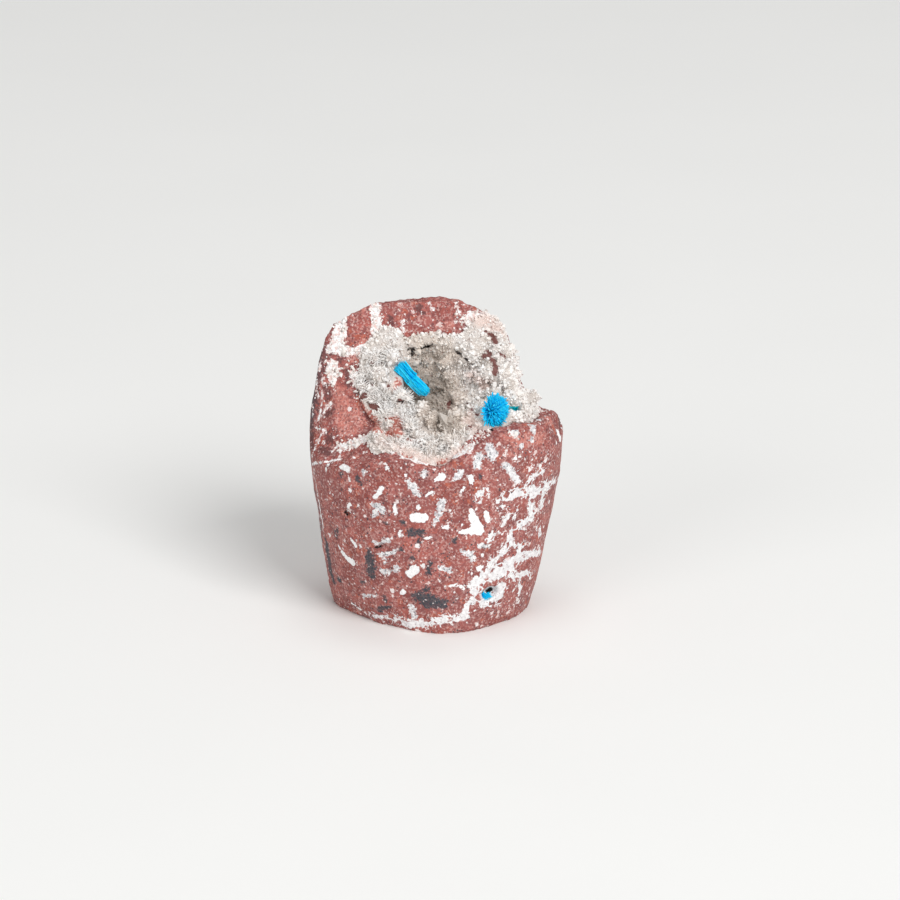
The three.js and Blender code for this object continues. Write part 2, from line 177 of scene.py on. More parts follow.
# Dark patches, grey-green on the wall and brown to plum on the broken face
DARK_STROKES = {
    "upper left": ((356.5, 477, 3.2), (358, 482, 2.8)),
    "beside bean": ((340.5, 472.5, 2.8),),
    "middle": ((410, 533, 3.6), (420, 532, 4.2)),
    "middle dot": ((403, 523, 3.0),),
    "chip": ((384.3, 522.3, 2.6),),
    "column": ((369, 551, 3.6), (370.5, 561, 5.0), (371, 574, 5.0)),
    "edge column": ((326, 540, 3.4), (328, 556, 4.8), (331, 572, 4.8), (334, 582, 3.6)),
    "left smear": ((337, 527, 2.6), (336, 535, 2.6)),
    "edge low": ((338.8, 580, 4.2),),
    "low dot": ((362.4, 581.6, 3.0),),
    "great patch": ((418, 597, 6.6), (430, 602, 8.4), (442, 604, 5.4)),
    "patch head": ((425.5, 590, 4.0),),
    "lower column": ((429, 564, 3.2), (429, 572, 3.2)),
    "spot": ((413.4, 557.3, 2.8),),
    "small spot": ((402.6, 550.6, 2.2),),
    "soft spot": ((419.5, 541.5, 3.0),),
    "low spot": ((384, 598, 3.0),),
    "brown spot": ((446, 464, 4.4),),
    "right spot": ((454.5, 540, 2.6),),
    "far right spot": ((484, 547, 2.8),),
    "slit": ((481, 473, 1.4), (481, 479, 1.4)),
    "left strip": ((314, 490, 1.4), (319, 520, 1.8), (322, 540, 1.6)),
    "break clast": ((327, 434, 3.2), (330, 441, 3.8)),
    "foot": ((378, 610, 2.6), (388, 606, 2.4)),
    "face plum": ((318, 376, 2.4), (317.5, 386, 2.8), (318, 394, 2.4)),
    "face plum low": ((316, 400, 2.4), (317, 410, 2.2)),
    "face rim": ((312, 420, 4.0), (311.5, 432, 3.6), (313, 446, 3.4)),
    "face red": ((327, 386, 2.6), (329, 398, 4.0)),
    "face clast": ((327, 414, 3.0), (333, 411, 3.4)),
    "face dark": ((328, 433, 3.4), (328, 440, 4.0)),
    "face low": ((329, 453, 3.6), (321, 449, 3.0)),
    "face band": ((347, 370, 3.4), (349, 386, 3.2)),
    "face brow": ((338, 362, 2.6), (343, 357, 2.2)),
    "face spot": ((357, 391.5, 3.4),),
    "face head": ((324, 352, 2.4), (329, 356, 3.0), (333, 352, 2.2)),
    "face side": ((321, 354, 2.2), (325, 362, 2.0), (326.5, 373, 1.6)),
    "face outer": ((325, 347, 3.0), (320, 358, 4.0), (316.5, 374, 4.4), (314, 396, 4.4), (312, 420, 4.0)),
    "rim grey": ((419, 308, 4.0), (422, 313, 2.6)),
    "rim plum": ((390, 318, 2.6), (392, 330, 2.6)),
}

# Painted shade: near-black pits of the wall and clefts of the broken face, and a painted shadow under the
# rosette
PIT_SHADE_STROKES = {
    "left pit": ((345, 511.5, 1.4), (347.5, 514.5, 1.6)),
    "slit": ((375.5, 547, 0.9), (380.5, 546.6, 1.0)),
    "crystal pit": ((488, 591, 2.6), (490.5, 589, 2.4)),
    "cleft": ((411, 350.5, 3.6), (411.5, 354, 2.4)),
    "second cleft": ((421, 348.5, 1.8), (428, 346, 2.6)),
    "under rosette": ((490.5, 429.5, 1.2), (493, 430, 1.0)),
}

# Pale pink and white bands on the broken face
PALE_STROKES = {
    "top band": ((375.5, 305, 4.6), (377, 322, 5.0), (378, 340, 5.4)),
    "shoulder": ((342, 323, 5.0), (339, 334, 6.4), (337, 344, 7.0)),
    "shoulder band": ((330, 349, 4.4), (345, 352, 4.6), (360, 350, 4.6), (372, 347, 5.4)),
    "left blot": ((332, 364, 5.4), (334, 374, 6.0), (333, 382, 4.0)),
    "outer streak": ((322, 360, 1.2), (317.5, 371, 1.2)),
    "edge streak left": ((314.5, 381, 0.9), (314, 390, 1.0), (317.5, 396, 1.8)),
    "second streak": ((322.2, 375, 1.2), (322.6, 392, 1.2), (321.5, 402, 1.6), (320, 410, 1.6),
                      (319, 420, 1.4)),
    "third streak": ((327, 367, 1.2), (325, 378, 1.0), (325.6, 386, 0.8)),
    "low edge streak": ((312.4, 406, 1.1), (312.2, 416, 1.2)),
    "arc": ((323, 412, 1.4), (326, 406, 1.6), (331, 404, 1.4)),
    "low spray": ((317, 428, 1.6), (323, 429, 2.0), (327, 431, 1.2)),
    "low line": ((321, 434, 1.2), (317, 444, 1.0), (311.7, 456, 0.9)),
    "arch": ((332.7, 451, 0.8), (336.6, 445.8, 1.0), (340.4, 447, 1.2), (339.4, 458, 1.8)),
    "ridge patch": ((341, 447, 4.6), (355, 443.5, 5.4), (368, 438, 5.4)),
    "inner edge": ((353, 372, 4.0), (356, 384, 4.4), (366, 396, 4.0)),
    "lower edge": ((376, 412, 3.0), (379, 426, 3.4), (386, 440, 4.0)),
    "ridge": ((372, 446, 2.0), (390, 450, 3.0), (404, 457, 3.6), (420, 462, 3.6), (438, 464, 3.4)),
    "ridge right": ((438, 463, 3.4), (452, 457, 5.0), (470, 448, 6.4)),
    "corner blush": ((470, 318, 6.0), (484, 320, 8.0), (497, 327, 6.0)),
    "rim mark": ((401, 303, 2.0),),
    "rim streak": ((403, 321, 1.8), (403, 333, 1.8)),
    "back streak": ((431, 302, 1.6), (432, 309, 1.6)),
    "edge streak": ((456, 304, 0.9), (458, 313, 1.0)),
    "rosette foot": ((498, 424, 3.0), (512, 419, 2.6), (528, 414, 2.6), (541, 411, 2.6)),
    "ledge crystal": ((515, 433, 4.2),),
}

# The salmon-red patch and the redder clasts of the broken face
SALMON_STROKES = {
    "patch": ((338, 390, 4.0), (344, 406, 9.0), (348, 428, 11.0)),
    "patch side": ((346, 408, 9.0), (362, 424, 7.0)),
    "shoulder clast": ((349, 316, 4.0),),
    "rim clast": ((362, 312, 4.0),),
    "upper clast": ((360, 343, 5.0), (367, 341, 3.6)),
    "middle clast": ((347, 362, 3.6), (358, 360, 4.0)),
    "ledge clast": ((548, 419, 6.0),),
    "ledge field": ((502, 434, 4.0), (520, 441, 7.0), (543, 436, 6.0)),
    "ledge red": ((525, 419, 3.2),),
    "ledge low red": ((505, 454, 2.6), (514, 453, 3.2)),
    "back orange": ((440, 327, 4.0), (450, 324, 4.0)),
    "back red": ((465, 305, 3.0),),
}

# Regions where many pale grains pepper the red
GRAINY_STROKES = {
    "net field": ((492, 500, 8.0), (502, 520, 11.0), (500, 535, 8.0)),
    "net right": ((538, 510, 9.0), (525, 545, 8.0)),
    "low right": ((492, 613, 5.0), (508, 609, 6.0), (524, 598, 5.0)),
    "ledge front": ((508, 452, 7.0), (532, 462, 9.0), (550, 456, 7.0)),
}

# White crystals that spread from the hollow over the broken face
SPILL_STROKES = {
    "shoulder": ((342, 323, 4.4), (339, 334, 5.4), (337, 344, 6.0)),
    "shoulder band": ((330, 349, 3.4), (345, 352, 4.0), (360, 350, 4.0), (374, 350, 5.0)),
    "top band": ((375.5, 307, 3.8), (377, 325, 4.2), (378.5, 345, 5.0)),
    "left blot": ((332, 364, 4.4), (334, 374, 5.2), (333, 382, 3.2)),
    "inner edge": ((354, 368, 4.6), (356, 384, 5.0), (366, 396, 4.4)),
    "lower edge": ((372, 410, 2.6), (378, 426, 3.4), (384, 438, 4.4), (400, 446, 6.0), (420, 455, 6.0)),
    "right edge": ((420, 455, 6.0), (440, 458, 6.0), (458, 450, 6.4), (474, 440, 6.0), (488, 432, 3.8)),
    "left rim": ((361, 390, 3.6), (366, 402, 4.0), (372, 412, 4.4), (378, 422, 4.4), (384, 432, 4.4)),
    "ledge edge": ((497, 424, 2.4), (512, 419, 2.2), (528, 414, 2.2), (541, 411, 2.6)),
    "ridge patch": ((341, 447, 3.4), (355, 443.5, 4.4), (368, 438, 4.4)),
    "corner": ((464, 320, 5.0), (484, 318, 6.4), (499, 328, 6.0), (506, 345, 5.0)),
    "right rim": ((506, 342, 4.4), (510, 352, 5.4), (514, 362, 6.0), (517, 376, 6.0), (518, 386, 6.0)),
    "ledge crystal": ((515, 433, 3.4),),
}

# Painted shade in the greyish-brown depth of the hollow, pink blush, bare brown-red patches, and painted
# shade in the near-black gaps of the crust
HOLLOW_SHADE_STROKES = {
    "middle": ((417, 372, 5.0), (432, 384, 9.0), (443, 392, 8.0)),
    "lower": ((425, 400, 8.0), (440, 410, 9.0), (448, 424, 6.0)),
    "high": ((425, 352, 4.0), (440, 356, 4.0)),
}
BLUSH_STROKES = {
    "corner": ((462, 318, 8.0), (486, 320, 9.0), (500, 332, 6.0)),
    "lower left": ((392, 388, 3.4), (398, 382, 3.0)),
    "right": ((470, 420, 7.0), (486, 436, 7.0)),
    "middle right": ((470, 375, 6.0), (486, 385, 6.0)),
    "ridge": ((382, 440, 3.6), (404, 452, 4.4), (425, 460, 4.4), (445, 460, 5.0), (462, 450, 6.0)),
}
BARE_STROKES = {
    "upper": ((486, 332, 1.4), (493, 336, 3.0), (495.5, 342, 3.8)),
    "middle": ((482, 357, 1.4), (489, 355, 3.2), (487, 350, 1.6)),
    "lower": ((492, 360, 3.0), (495, 366, 3.4), (495.5, 373, 3.0)),
    "side": ((497, 352, 1.2), (505, 357, 1.8)),
    "left spot": ((362, 397, 3.4), (366, 395, 3.2)),
    "lower left spot": ((371, 405, 3.0), (377, 408, 3.4)),
    "edge spot": ((357.5, 392, 2.4),),
    "low left spot": ((373, 418, 2.0), (371, 426, 2.2)),
    "taupe spot": ((370, 382, 2.0), (373, 384, 1.6)),
    "ring spot": ((388, 386.5, 1.8),),
    "small spot": ((382, 395, 1.6),),
    "dark specks": ((399, 400, 1.8), (403, 402, 1.6)),
    "upper left spot": ((371, 362, 1.8), (376, 363, 1.8)),
    "middle right": ((449, 402, 1.8), (450, 410, 2.0)),
    "low right": ((466, 430, 1.6), (470, 427, 1.6)),
    "right spot": ((477.5, 414.8, 2.2),),
    "right crumb": ((468, 405, 1.2), (472, 409, 1.2)),
    "left speck": ((367, 384, 1.2),),
    "low speck": ((402, 403, 1.4),),
}
RED_STROKES = {
    "red spot": ((398, 380.5, 2.8), (396, 387, 3.0)),
    "orange spot": ((389, 420, 3.4), (396, 421, 5.4), (398, 431, 5.0), (390, 433, 4.6)),
    "orange foot": ((408, 440, 2.0), (413, 443, 2.4)),
    "salmon corner": ((361, 404, 2.4), (367, 415, 5.0), (368, 427, 6.0)),
    "low left spot": ((385, 434, 2.4), (380, 430, 2.0)),
    "ridge spots": ((404, 456, 1.8), (412, 459, 2.0)),
    "ridge mate": ((438, 463, 2.2), (446, 461, 1.8)),
    "lip spot": ((456, 458, 2.2), (460, 453, 1.8)),
    "lip mate": ((470, 448, 2.4),),
    "lip end": ((482, 439, 2.0), (487, 434, 1.6)),
    "pink speck": ((416, 440, 1.4), (420, 443, 1.6)),
}
# Painted shade: near-black clefts and cracks of the crust, and a painted shadow under the sheaf
CLEFT_SHADE_STROKES = {
    "cleft": ((407.5, 349, 1.2), (413.5, 349.5, 2.4), (411.5, 356, 1.2)),
    "second cleft": ((421, 348.5, 0.9), (427, 346, 2.0), (432, 344, 1.2)),
    "long crack": ((454, 349, 0.6), (461, 355, 0.9), (472, 364, 0.7)),
    "lower crack": ((486.5, 380.5, 0.6), (491.5, 388, 0.7)),
    "brown crack": ((452, 399, 0.7), (451, 408, 1.2)),
    "by the rosette": ((505.8, 401, 1.0),),
    "under the sheaf": ((412, 380, 1.2), (418, 389, 1.2), (424, 396, 1.0)),
    "left crack": ((366, 381, 0.8), (370, 384, 0.6)),
    "low crack": ((397, 400, 0.8), (404, 402, 0.6)),
}

# Large crystals that bulge over the right edge of the crust, and tufts of white needles
KNOB_STROKES = {
    "upper": ((509, 350, 4.0), (513, 360, 6.0), (515, 369, 7.0), (514, 378, 5.0)),
    "lower": ((516, 391, 3.4), (522, 395, 4.0), (530, 401, 3.6)),
}
NEEDLE_STROKES = {
    "left": ((364, 376, 5.0), (372, 392, 8.0), (384, 400, 9.0), (386, 412, 7.0), (378, 424, 6.0)),
    "under the sheaf": ((398, 396, 8.0), (408, 410, 8.0), (410, 428, 8.0)),
    "upper": ((372, 356, 6.0), (386, 356, 7.0), (394, 350, 4.0)),
    "lower": ((392, 440, 5.0), (415, 446, 6.0), (440, 444, 7.0), (460, 434, 6.0)),
}


def srgb(red, green, blue):
    """A display colour of 0 to 255 as linear values."""
    return tuple((value / 255) ** 2.2 for value in (red, green, blue))


def colour_property(name, description, rgb):
    """A colour that the user can change."""
    return FloatVectorProperty(name=name, description=description, subtype="COLOR", size=3,
                               min=0.0, max=1.0, default=srgb(*rgb))


def length_property(name, description, default):
    """A length that the user can change."""
    return FloatProperty(name=name, description=description, default=default, min=0.0,
                         precision=5, subtype="DISTANCE", unit="LENGTH")


class RockSettings(PropertyGroup):
    """Sizes and colours of the breccia."""

    face: length_property("Face size", "Side of the even faces of the rock's mesh", 0.33 * MM)
    wall_relief: length_property("Wall relief", "Height of the saw's fine unevenness", 0.05 * MM)
    break_relief: length_property("Break relief", "Height of the lumps on the broken face", 0.30 * MM)
    grain_relief: length_property("Grain relief", "Height of the fine grain on the broken face", 0.14 * MM)
    hidden_clasts: IntProperty(name="Hidden clasts", description="White clasts on the unseen sides",
                               default=110, min=0)
    hidden_patches: IntProperty(name="Hidden patches", description="Dark patches on the unseen sides",
                                default=30, min=0)
    hidden_veins: IntProperty(name="Hidden veins", description="White veins on the unseen sides",
                              default=9, min=0)
    red: colour_property("Red", "Brick-red ground of the breccia", (184, 105, 96))
    deep_red: colour_property("Deep red", "Darker parts of the ground", (148, 76, 68))
    plum: colour_property("Plum", "Purplish clasts", (122, 80, 82))
    orange: colour_property("Orange", "Orange-red clasts", (194, 102, 78))
    pale: colour_property("Pale", "Pink-grey specks", (228, 200, 194))
    salmon: colour_property("Salmon", "The lighter red patch of the broken face", (208, 132, 120))
    dark: colour_property("Dark", "Grey-green patches of the wall", (52, 70, 78))
    bark: colour_property("Bark", "Brown and plum clasts of the broken face", (104, 70, 70))
    grey: colour_property("Grey", "Mottled clasts", (192, 186, 190))
    white: colour_property("White", "Clasts and veins", (252, 251, 251))
    # Painted shade: the near-black depth of the pits and clefts
    hole: colour_property("Hole", "Near-black depth of the pits", (22, 17, 16))


class CrustSettings(PropertyGroup):
    """Sizes and colours of the zeolite crust."""

    face: length_property("Face size", "Side of the even faces of the lining", 0.34 * MM)
    growth: length_property("Growth", "How far the lining grows to meet the rock", 0.30 * MM)
    spacing: length_property("Spacing", "Usual distance between crystals on the lining", 0.405 * MM)
    spill_spacing: length_property("Spill spacing", "Usual distance between grains on the rock", 0.48 * MM)
    crystal: length_property("Crystal", "Usual length of a crystal on the lining", 0.48 * MM)
    grain: length_property("Grain", "Usual length of a grain spread on the rock", 0.47 * MM)
    white: colour_property("White", "Fresh crystals", (253, 252, 251))
    cream: colour_property("Cream", "Stained crystals", (228, 216, 205))
    # Painted shade between the crystals: on the lining and at the feet of the crystals
    crevice_shade: colour_property("Crevice", "Lining between the crystals", (140, 120, 106))
    # Painted shade: crystals deep in the hollow darkened to a greyish brown
    smoke: colour_property("Smoke", "Crystals in the depth of the hollow", (146, 135, 124))
    blush: colour_property("Blush", "Pinkish crystals", (236, 208, 198))
    bare: colour_property("Bare", "Brown patches where old rock shows", (118, 74, 68))
    red: colour_property("Red", "Red patches where the breccia shows", (178, 104, 92))
    # Painted shade: near-black colour of the crust's clefts and cracks, and of a painted shadow under the
    # sheaf
    gap: colour_property("Gap", "Near-black gaps between the crystals", (40, 30, 27))
    knob: length_property("Knob", "Usual length of the large crystals at the right edge", 0.95 * MM)
    needle: length_property("Needle", "Usual length of the white needles", 1.3 * MM)


class SpraySettings(PropertyGroup):
    """Sizes and colours of the cavansite sprays."""

    width: length_property("Blade width", "Width of a blade at its middle", 0.24 * MM)
    density: FloatProperty(name="Density", description="Multiplies the number of blades",
                           default=1.0, min=0.1, max=3.0, subtype="FACTOR")
    blue: colour_property("Blue", "Blades", (0, 214, 255))
    deep_blue: colour_property("Deep blue", "Shaded and older blades", (0, 188, 250))
    # Painted highlight: light cyan at the blade ends and on the lit side of a spray
    highlight_blue: colour_property("Tip blue", "Light ends of the blades", (70, 230, 255))
    sea_green: colour_property("Sea green", "Blades of the greener sprig", (0, 172, 172))


class StageSettings(PropertyGroup):
    """The photograph's view, the floor and the light."""

    target: FloatVectorProperty(name="Target", description="Point in the middle of the picture",
                                default=(2.06 * MM, 0.0, 24.5 * MM), size=3, subtype="XYZ", unit="LENGTH")
    distance: length_property("Distance", "From the camera to the target", 0.63)
    elevation: FloatProperty(name="Elevation", description="Angle of the camera above the floor",
                             default=math.radians(19.0), subtype="ANGLE", unit="ROTATION")
    floor: colour_property("Floor", "Pale floor", (250, 250, 248))
    floor_size: length_property("Floor size", "Side of the floor", 4.0)
    key: FloatProperty(name="Key light", description="Power in watts", default=28.0, min=0.0)
    fill: FloatProperty(name="Fill light", description="Power in watts", default=8.0, min=0.0)
    top: FloatProperty(name="Top light", description="Power in watts", default=7.0, min=0.0)
    sky: FloatProperty(name="Surrounding light", description="Strength", default=0.33, min=0.0)


# Photograph's rays and marks


def photo_axes(stage):
    """The camera's eye and its directions ahead, to the right and up."""
    ahead = Vector((0.0, math.cos(stage.elevation), -math.sin(stage.elevation)))
    right = Vector((1.0, 0.0, 0.0))
    eye = Vector(stage.target) - ahead * stage.distance
    return eye, ahead, right, right.cross(ahead)


def photo_hit(tree, stage, x, y):
    """Where the ray through a pixel meets a surface. A ray just past the outline is nudged inwards."""
    eye, ahead, right, up = photo_axes(stage)
    focal = PIXELS_PER_METRE * stage.distance
    inwards = math.copysign(EDGE_NUDGE, PHOTO_CENTRE - x)
    for step in range(EDGE_NUDGES):
        across = x + step * inwards - PHOTO_CENTRE
        ray = ahead * focal + right * across + up * (PHOTO_CENTRE - y)
        place = tree.ray_cast(eye, ray.normalized())[0]
        if place is not None:
            return place
    return None


def laid(tree, stage, stroke):
    """A stroke on a surface, as a chain of places and half widths in millimetres."""
    chain = []
    ends = stroke[1:] or stroke
    for (x, y, half), (next_x, next_y, next_half) in zip(stroke, ends):
        steps = max(1, round(math.hypot(next_x - x, next_y - y) / STROKE_STEP))
        for step in range(steps + 1):
            share = step / steps
            place = photo_hit(tree, stage, x + (next_x - x) * share, y + (next_y - y) * share)
            if place is not None:
                width = max(half + (next_half - half) * share, FINEST)
                chain.append((np.array(place) / MM, width / PIXELS_PER_METRE / MM))
    return chain


def laid_all(tree, stage, strokes):
    """Chains of all the strokes of one kind."""
    return [laid(tree, stage, stroke) for stroke in strokes.values()]


def field(points, chains):
    """Distance in millimetres from each point to the nearest chain's edge, negative inside."""
    nearest = np.full(len(points), FAR_MM)
    for chain in chains:
        ends = chain[1:] or chain
        for (start, half), (end, end_half) in zip(chain, ends):
            along = end - start
            length = max(along @ along, LEAST_SQUARE_MM)
            share = np.clip((points - start) @ along / length, 0.0, 1.0)
            gap = np.linalg.norm(points - start - share[:, None] * along, axis=1)
            nearest = np.minimum(nearest, gap - half - share * (end_half - half))
    return nearest


def tangent(normal, rng):
    """A random direction in a surface."""
    aside = Vector(rng.normal(size=3))
    return (aside - normal * aside.dot(normal)).normalized()


def wandering(tree, rng, place, normal, steps, half_mm):
    """A chain that wanders over a surface from a place."""
    pace = 0.9 * MM
    wobble = 0.55
    thin, thick = 0.55, 1.35
    heading = tangent(normal, rng)
    chain = []
    for _ in range(steps):
        chain.append((np.array(place) / MM, half_mm * rng.uniform(thin, thick)))
        heading = (heading + tangent(normal, rng) * wobble).normalized()
        place, normal = tree.find_nearest(place + heading * pace)[:2]
        heading = heading - normal * heading.dot(normal)
    return chain


# Meshes


def gathered(items, key, kind=float):
    """Three numbers of every item of a mesh, as an array."""
    flat = np.empty(len(items) * 3, dtype=kind)
    items.foreach_get(key, flat)
    return flat.reshape(-1, 3)


def points_of(mesh):
    """The mesh's vertices, in metres."""
    return gathered(mesh.vertices, "co")


def normals_of(mesh):
    """The mesh's vertex normals."""
    return gathered(mesh.vertex_normals, "vector")


def triangles_of(mesh):
    """The mesh's triangles as vertex numbers."""
    mesh.calc_loop_triangles()
    return gathered(mesh.loop_triangles, "vertices", int)


def raise_surface(mesh, points, normals, heights):
    """Moves every vertex along its normal."""
    mesh.vertices.foreach_set("co", (points + normals * heights[:, None]).ravel())
    mesh.update()


def store(mesh, name, values):
    """Keeps one number per vertex, for a material to read."""
    attribute = mesh.attributes.new(name, "FLOAT", "POINT")
    attribute.data.foreach_set("value", np.asarray(values, dtype=np.float32))


def tree_of(mesh):
    """A search tree of a mesh's surface."""
    return BVHTree.FromPolygons(points_of(mesh).tolist(), triangles_of(mesh).tolist())


def even_faced(node, face):
    """A mesh of a solid's shape with small faces of one size."""
    shape = bmesh.new()
    shape.from_mesh(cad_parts[node].data)
    bmesh.ops.remove_doubles(shape, verts=shape.verts, dist=MERGE_DISTANCE)
    coarse = bpy.data.meshes.new(node)
    shape.to_mesh(coarse)
    shape.free()
    holder = bpy.data.objects.new(node, coarse)
    bpy.context.scene.collection.objects.link(holder)
    remesh = holder.modifiers.new("Even faces", "REMESH")
    remesh.mode = "VOXEL"
    remesh.voxel_size = face
    remesh.use_smooth_shade = True
    fine = bpy.data.meshes.new_from_object(holder.evaluated_get(bpy.context.evaluated_depsgraph_get()))
    bpy.data.objects.remove(holder)
    bpy.data.meshes.remove(coarse)
    return fine


def sampled(points, triangles, rng, count):
    """Random places on a surface, even over its area, with the surface's normals there."""
    corners = points[triangles]
    across = np.cross(corners[:, 1] - corners[:, 0], corners[:, 2] - corners[:, 0])
    area = np.linalg.norm(across, axis=1)
    chosen = rng.choice(len(triangles), size=count, p=area / area.sum())
    first, second = rng.random((2, count, 1))
    fold = first + second > 1
    first = np.where(fold, 1 - first, first)
    second = np.where(fold, 1 - second, second)
    base = corners[chosen]
    places = base[:, 0] + first * (base[:, 1] - base[:, 0]) + second * (base[:, 2] - base[:, 0])
    return places, across[chosen] / area[chosen, None]


def thinned(places, gap):
    """Numbers of the places left when each cell of a grid keeps one."""
    cells = np.floor(places / gap).astype(int)
    return np.sort(np.unique(cells, axis=0, return_index=True)[1])


def turned(axes, spins):
    """Rotations that lay z along each axis and spin about it."""
    upright = np.abs(axes[:, 2:]) < 0.9
    aside = np.where(upright, (0.0, 0.0, 1.0), (1.0, 0.0, 0.0))
    first = np.cross(aside, axes)
    first /= np.linalg.norm(first, axis=1, keepdims=True)
    second = np.cross(axes, first)
    cos = np.cos(spins)[:, None]
    sin = np.sin(spins)[:, None]
    return np.stack((cos * first + sin * second, cos * second - sin * first, axes), axis=2)


def copies(template, places, axes, spins, sizes):
    """Corners and triangles of many placed copies of a template, as two arrays."""
    corners, triangles = template
    frames = turned(axes, spins) * sizes[:, None, :]
    placed = np.einsum("nij,kj->nki", frames, corners) + places[:, None, :]
    offsets = np.arange(len(places))[:, None, None] * len(corners)
    return placed.reshape(-1, 3), (triangles[None] + offsets).reshape(-1, 3)


def template_of(shape):
    """A small bmesh as arrays of corners and triangles, in the same order each run. Frees the bmesh."""
    places = 6
    bmesh.ops.triangulate(shape, faces=shape.faces)
    shape.verts.index_update()
    corners = np.array([corner.co for corner in shape.verts])
    order = np.lexsort(np.round(corners, places).T)
    number = np.argsort(order)
    triangles = number[[[corner.index for corner in face.verts] for face in shape.faces]]
    shape.free()
    first = triangles.argmin(axis=1)
    triangles = np.stack([np.roll(triangle, -start) for triangle, start in zip(triangles, first)])
    return corners[order], triangles[np.lexsort(triangles.T)]


def prism(sides, shoulder, point, ridge):
    """A crystal of height 1 on the origin: a prism up to its shoulder, then narrowing to a point or ridge."""
    straight = Vector((1.0, 1.0, 1.0))
    narrowing = Vector((point, ridge, 1.0))
    shape = bmesh.new()
    bmesh.ops.create_circle(shape, cap_ends=True, segments=sides, radius=0.5)
    bmesh.ops.reverse_faces(shape, faces=shape.faces[:])
    for rise, narrow in ((shoulder, straight), (1.0 - shoulder, narrowing)):
        top = max(shape.faces, key=lambda face: face.calc_center_median().z)
        grown = bmesh.ops.extrude_face_region(shape, geom=[top])["geom"]
        bmesh.ops.delete(shape, geom=[top], context="FACES_ONLY")
        raised = [part for part in grown if isinstance(part, bmesh.types.BMVert)]
        bmesh.ops.translate(shape, verts=raised, vec=(0.0, 0.0, rise))
        bmesh.ops.scale(shape, verts=raised, vec=narrow)
    bmesh.ops.recalc_face_normals(shape, faces=shape.faces)
    return template_of(shape)


def piece_of(name, mesh, nodes, material):
    """The finished piece: shown in place of its solids and carried by the body."""
    mesh.name = name
    mesh.materials.clear()
    mesh.materials.append(material)
    piece = bpy.data.objects.new(name, mesh)
    bpy.context.scene.collection.objects.link(piece)
    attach(piece, BODY)
    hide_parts(*nodes)


# Shader nodes


class Graph:
    """Adds nodes to a node tree and links them."""

    def __init__(self, tree):
        self.tree = tree

    def add(self, kind, inputs=None, **settings):
        """A node with its settings, its inputs set to values or linked to sockets."""
        node = self.tree.nodes.new(kind)
        for name, value in settings.items():
            setattr(node, name, value)
        for key, value in (inputs or {}).items():
            if isinstance(value, bpy.types.NodeSocket):
                self.tree.links.new(value, node.inputs[key])
            else:
                node.inputs[key].default_value = value
        return node

    def math(self, operation, first, second, third=0.0, clamp=False):
        """The result of a sum on two or three numbers."""
        inputs = {0: first, 1: second, 2: third}
        return self.add("ShaderNodeMath", inputs, operation=operation, use_clamp=clamp).outputs[0]

    def ramp(self, value, low, high):
        """0 where the value is at low, 1 where it is at high, and smooth between."""
        inputs = {"Value": value, "From Min": low, "From Max": high}
        return self.add("ShaderNodeMapRange", inputs, interpolation_type="SMOOTHSTEP").outputs[0]

    def mix(self, share, first, second):
        """A colour between two colours."""
        inputs = {0: share, 6: opaque(first), 7: opaque(second)}
        return self.add("ShaderNodeMix", inputs, data_type="RGBA").outputs[2]

    def tint(self, colour, other, mask, part):
        """A colour that turns into another by a part of a mask."""
        return self.mix(self.math("MULTIPLY", mask, part), colour, other)

    def stored(self, name):
        """A number that the mesh keeps."""
        return self.add("ShaderNodeAttribute", attribute_name=name).outputs["Fac"]

    def group(self, group, **inputs):
        """A shared effect with its own values."""
        return self.add("ShaderNodeGroup", inputs, node_tree=group).outputs

    def place_mm(self):
        """The point on the piece, in millimetres."""
        place = self.add("ShaderNodeTexCoord").outputs["Object"]
        return self.add("ShaderNodeVectorMath", {0: place, "Scale": 1.0 / MM}, operation="SCALE").outputs[0]

    def scaled(self, vector, size):
        """A vector in units of a size."""
        share = self.math("DIVIDE", 1.0, size)
        return self.add("ShaderNodeVectorMath", {0: vector, "Scale": share}, operation="SCALE").outputs[0]

    def shaken(self, place, scale, amount):
        """A place moved by noise, so that cells drawn on it are irregular."""
        shake = self.add("ShaderNodeTexNoise", {"Vector": place, "Scale": scale, "Detail": 1.0})
        inputs = {0: shake.outputs["Color"], 1: (amount, amount, amount), 2: place}
        return self.add("ShaderNodeVectorMath", inputs, operation="MULTIPLY_ADD").outputs[0]


def opaque(colour):
    """A colour with full alpha; a socket stays as it is."""
    return colour if isinstance(colour, bpy.types.NodeSocket) else (*colour, 1.0)


def effect(name, inputs, outputs):
    """An empty shared effect: its graph, its inputs and its output node."""
    group = bpy.data.node_groups.new(name, "ShaderNodeTree")
    for socket, default in inputs.items():
        given = group.interface.new_socket(socket, in_out="INPUT", socket_type="NodeSocketFloat")
        given.default_value = default
    for socket in outputs:
        group.interface.new_socket(socket, in_out="OUTPUT", socket_type="NodeSocketFloat")
    graph = Graph(group)
    return graph, graph.add("NodeGroupInput").outputs, graph.add("NodeGroupOutput")


def mottle_effect():
    """Cloudy change over the surface, 0 to 1. Size is in millimetres."""
    graph, given, result = effect("Mottle", {"Size": 1.0, "Detail": 3.0}, ["Value"])
    place = graph.scaled(graph.place_mm(), given["Size"])
    cloud = graph.add("ShaderNodeTexNoise", {"Vector": place, "Scale": 1.0, "Detail": given["Detail"]})
    graph.tree.links.new(graph.ramp(cloud.outputs["Fac"], 0.3, 0.7), result.inputs["Value"])
    return graph.tree


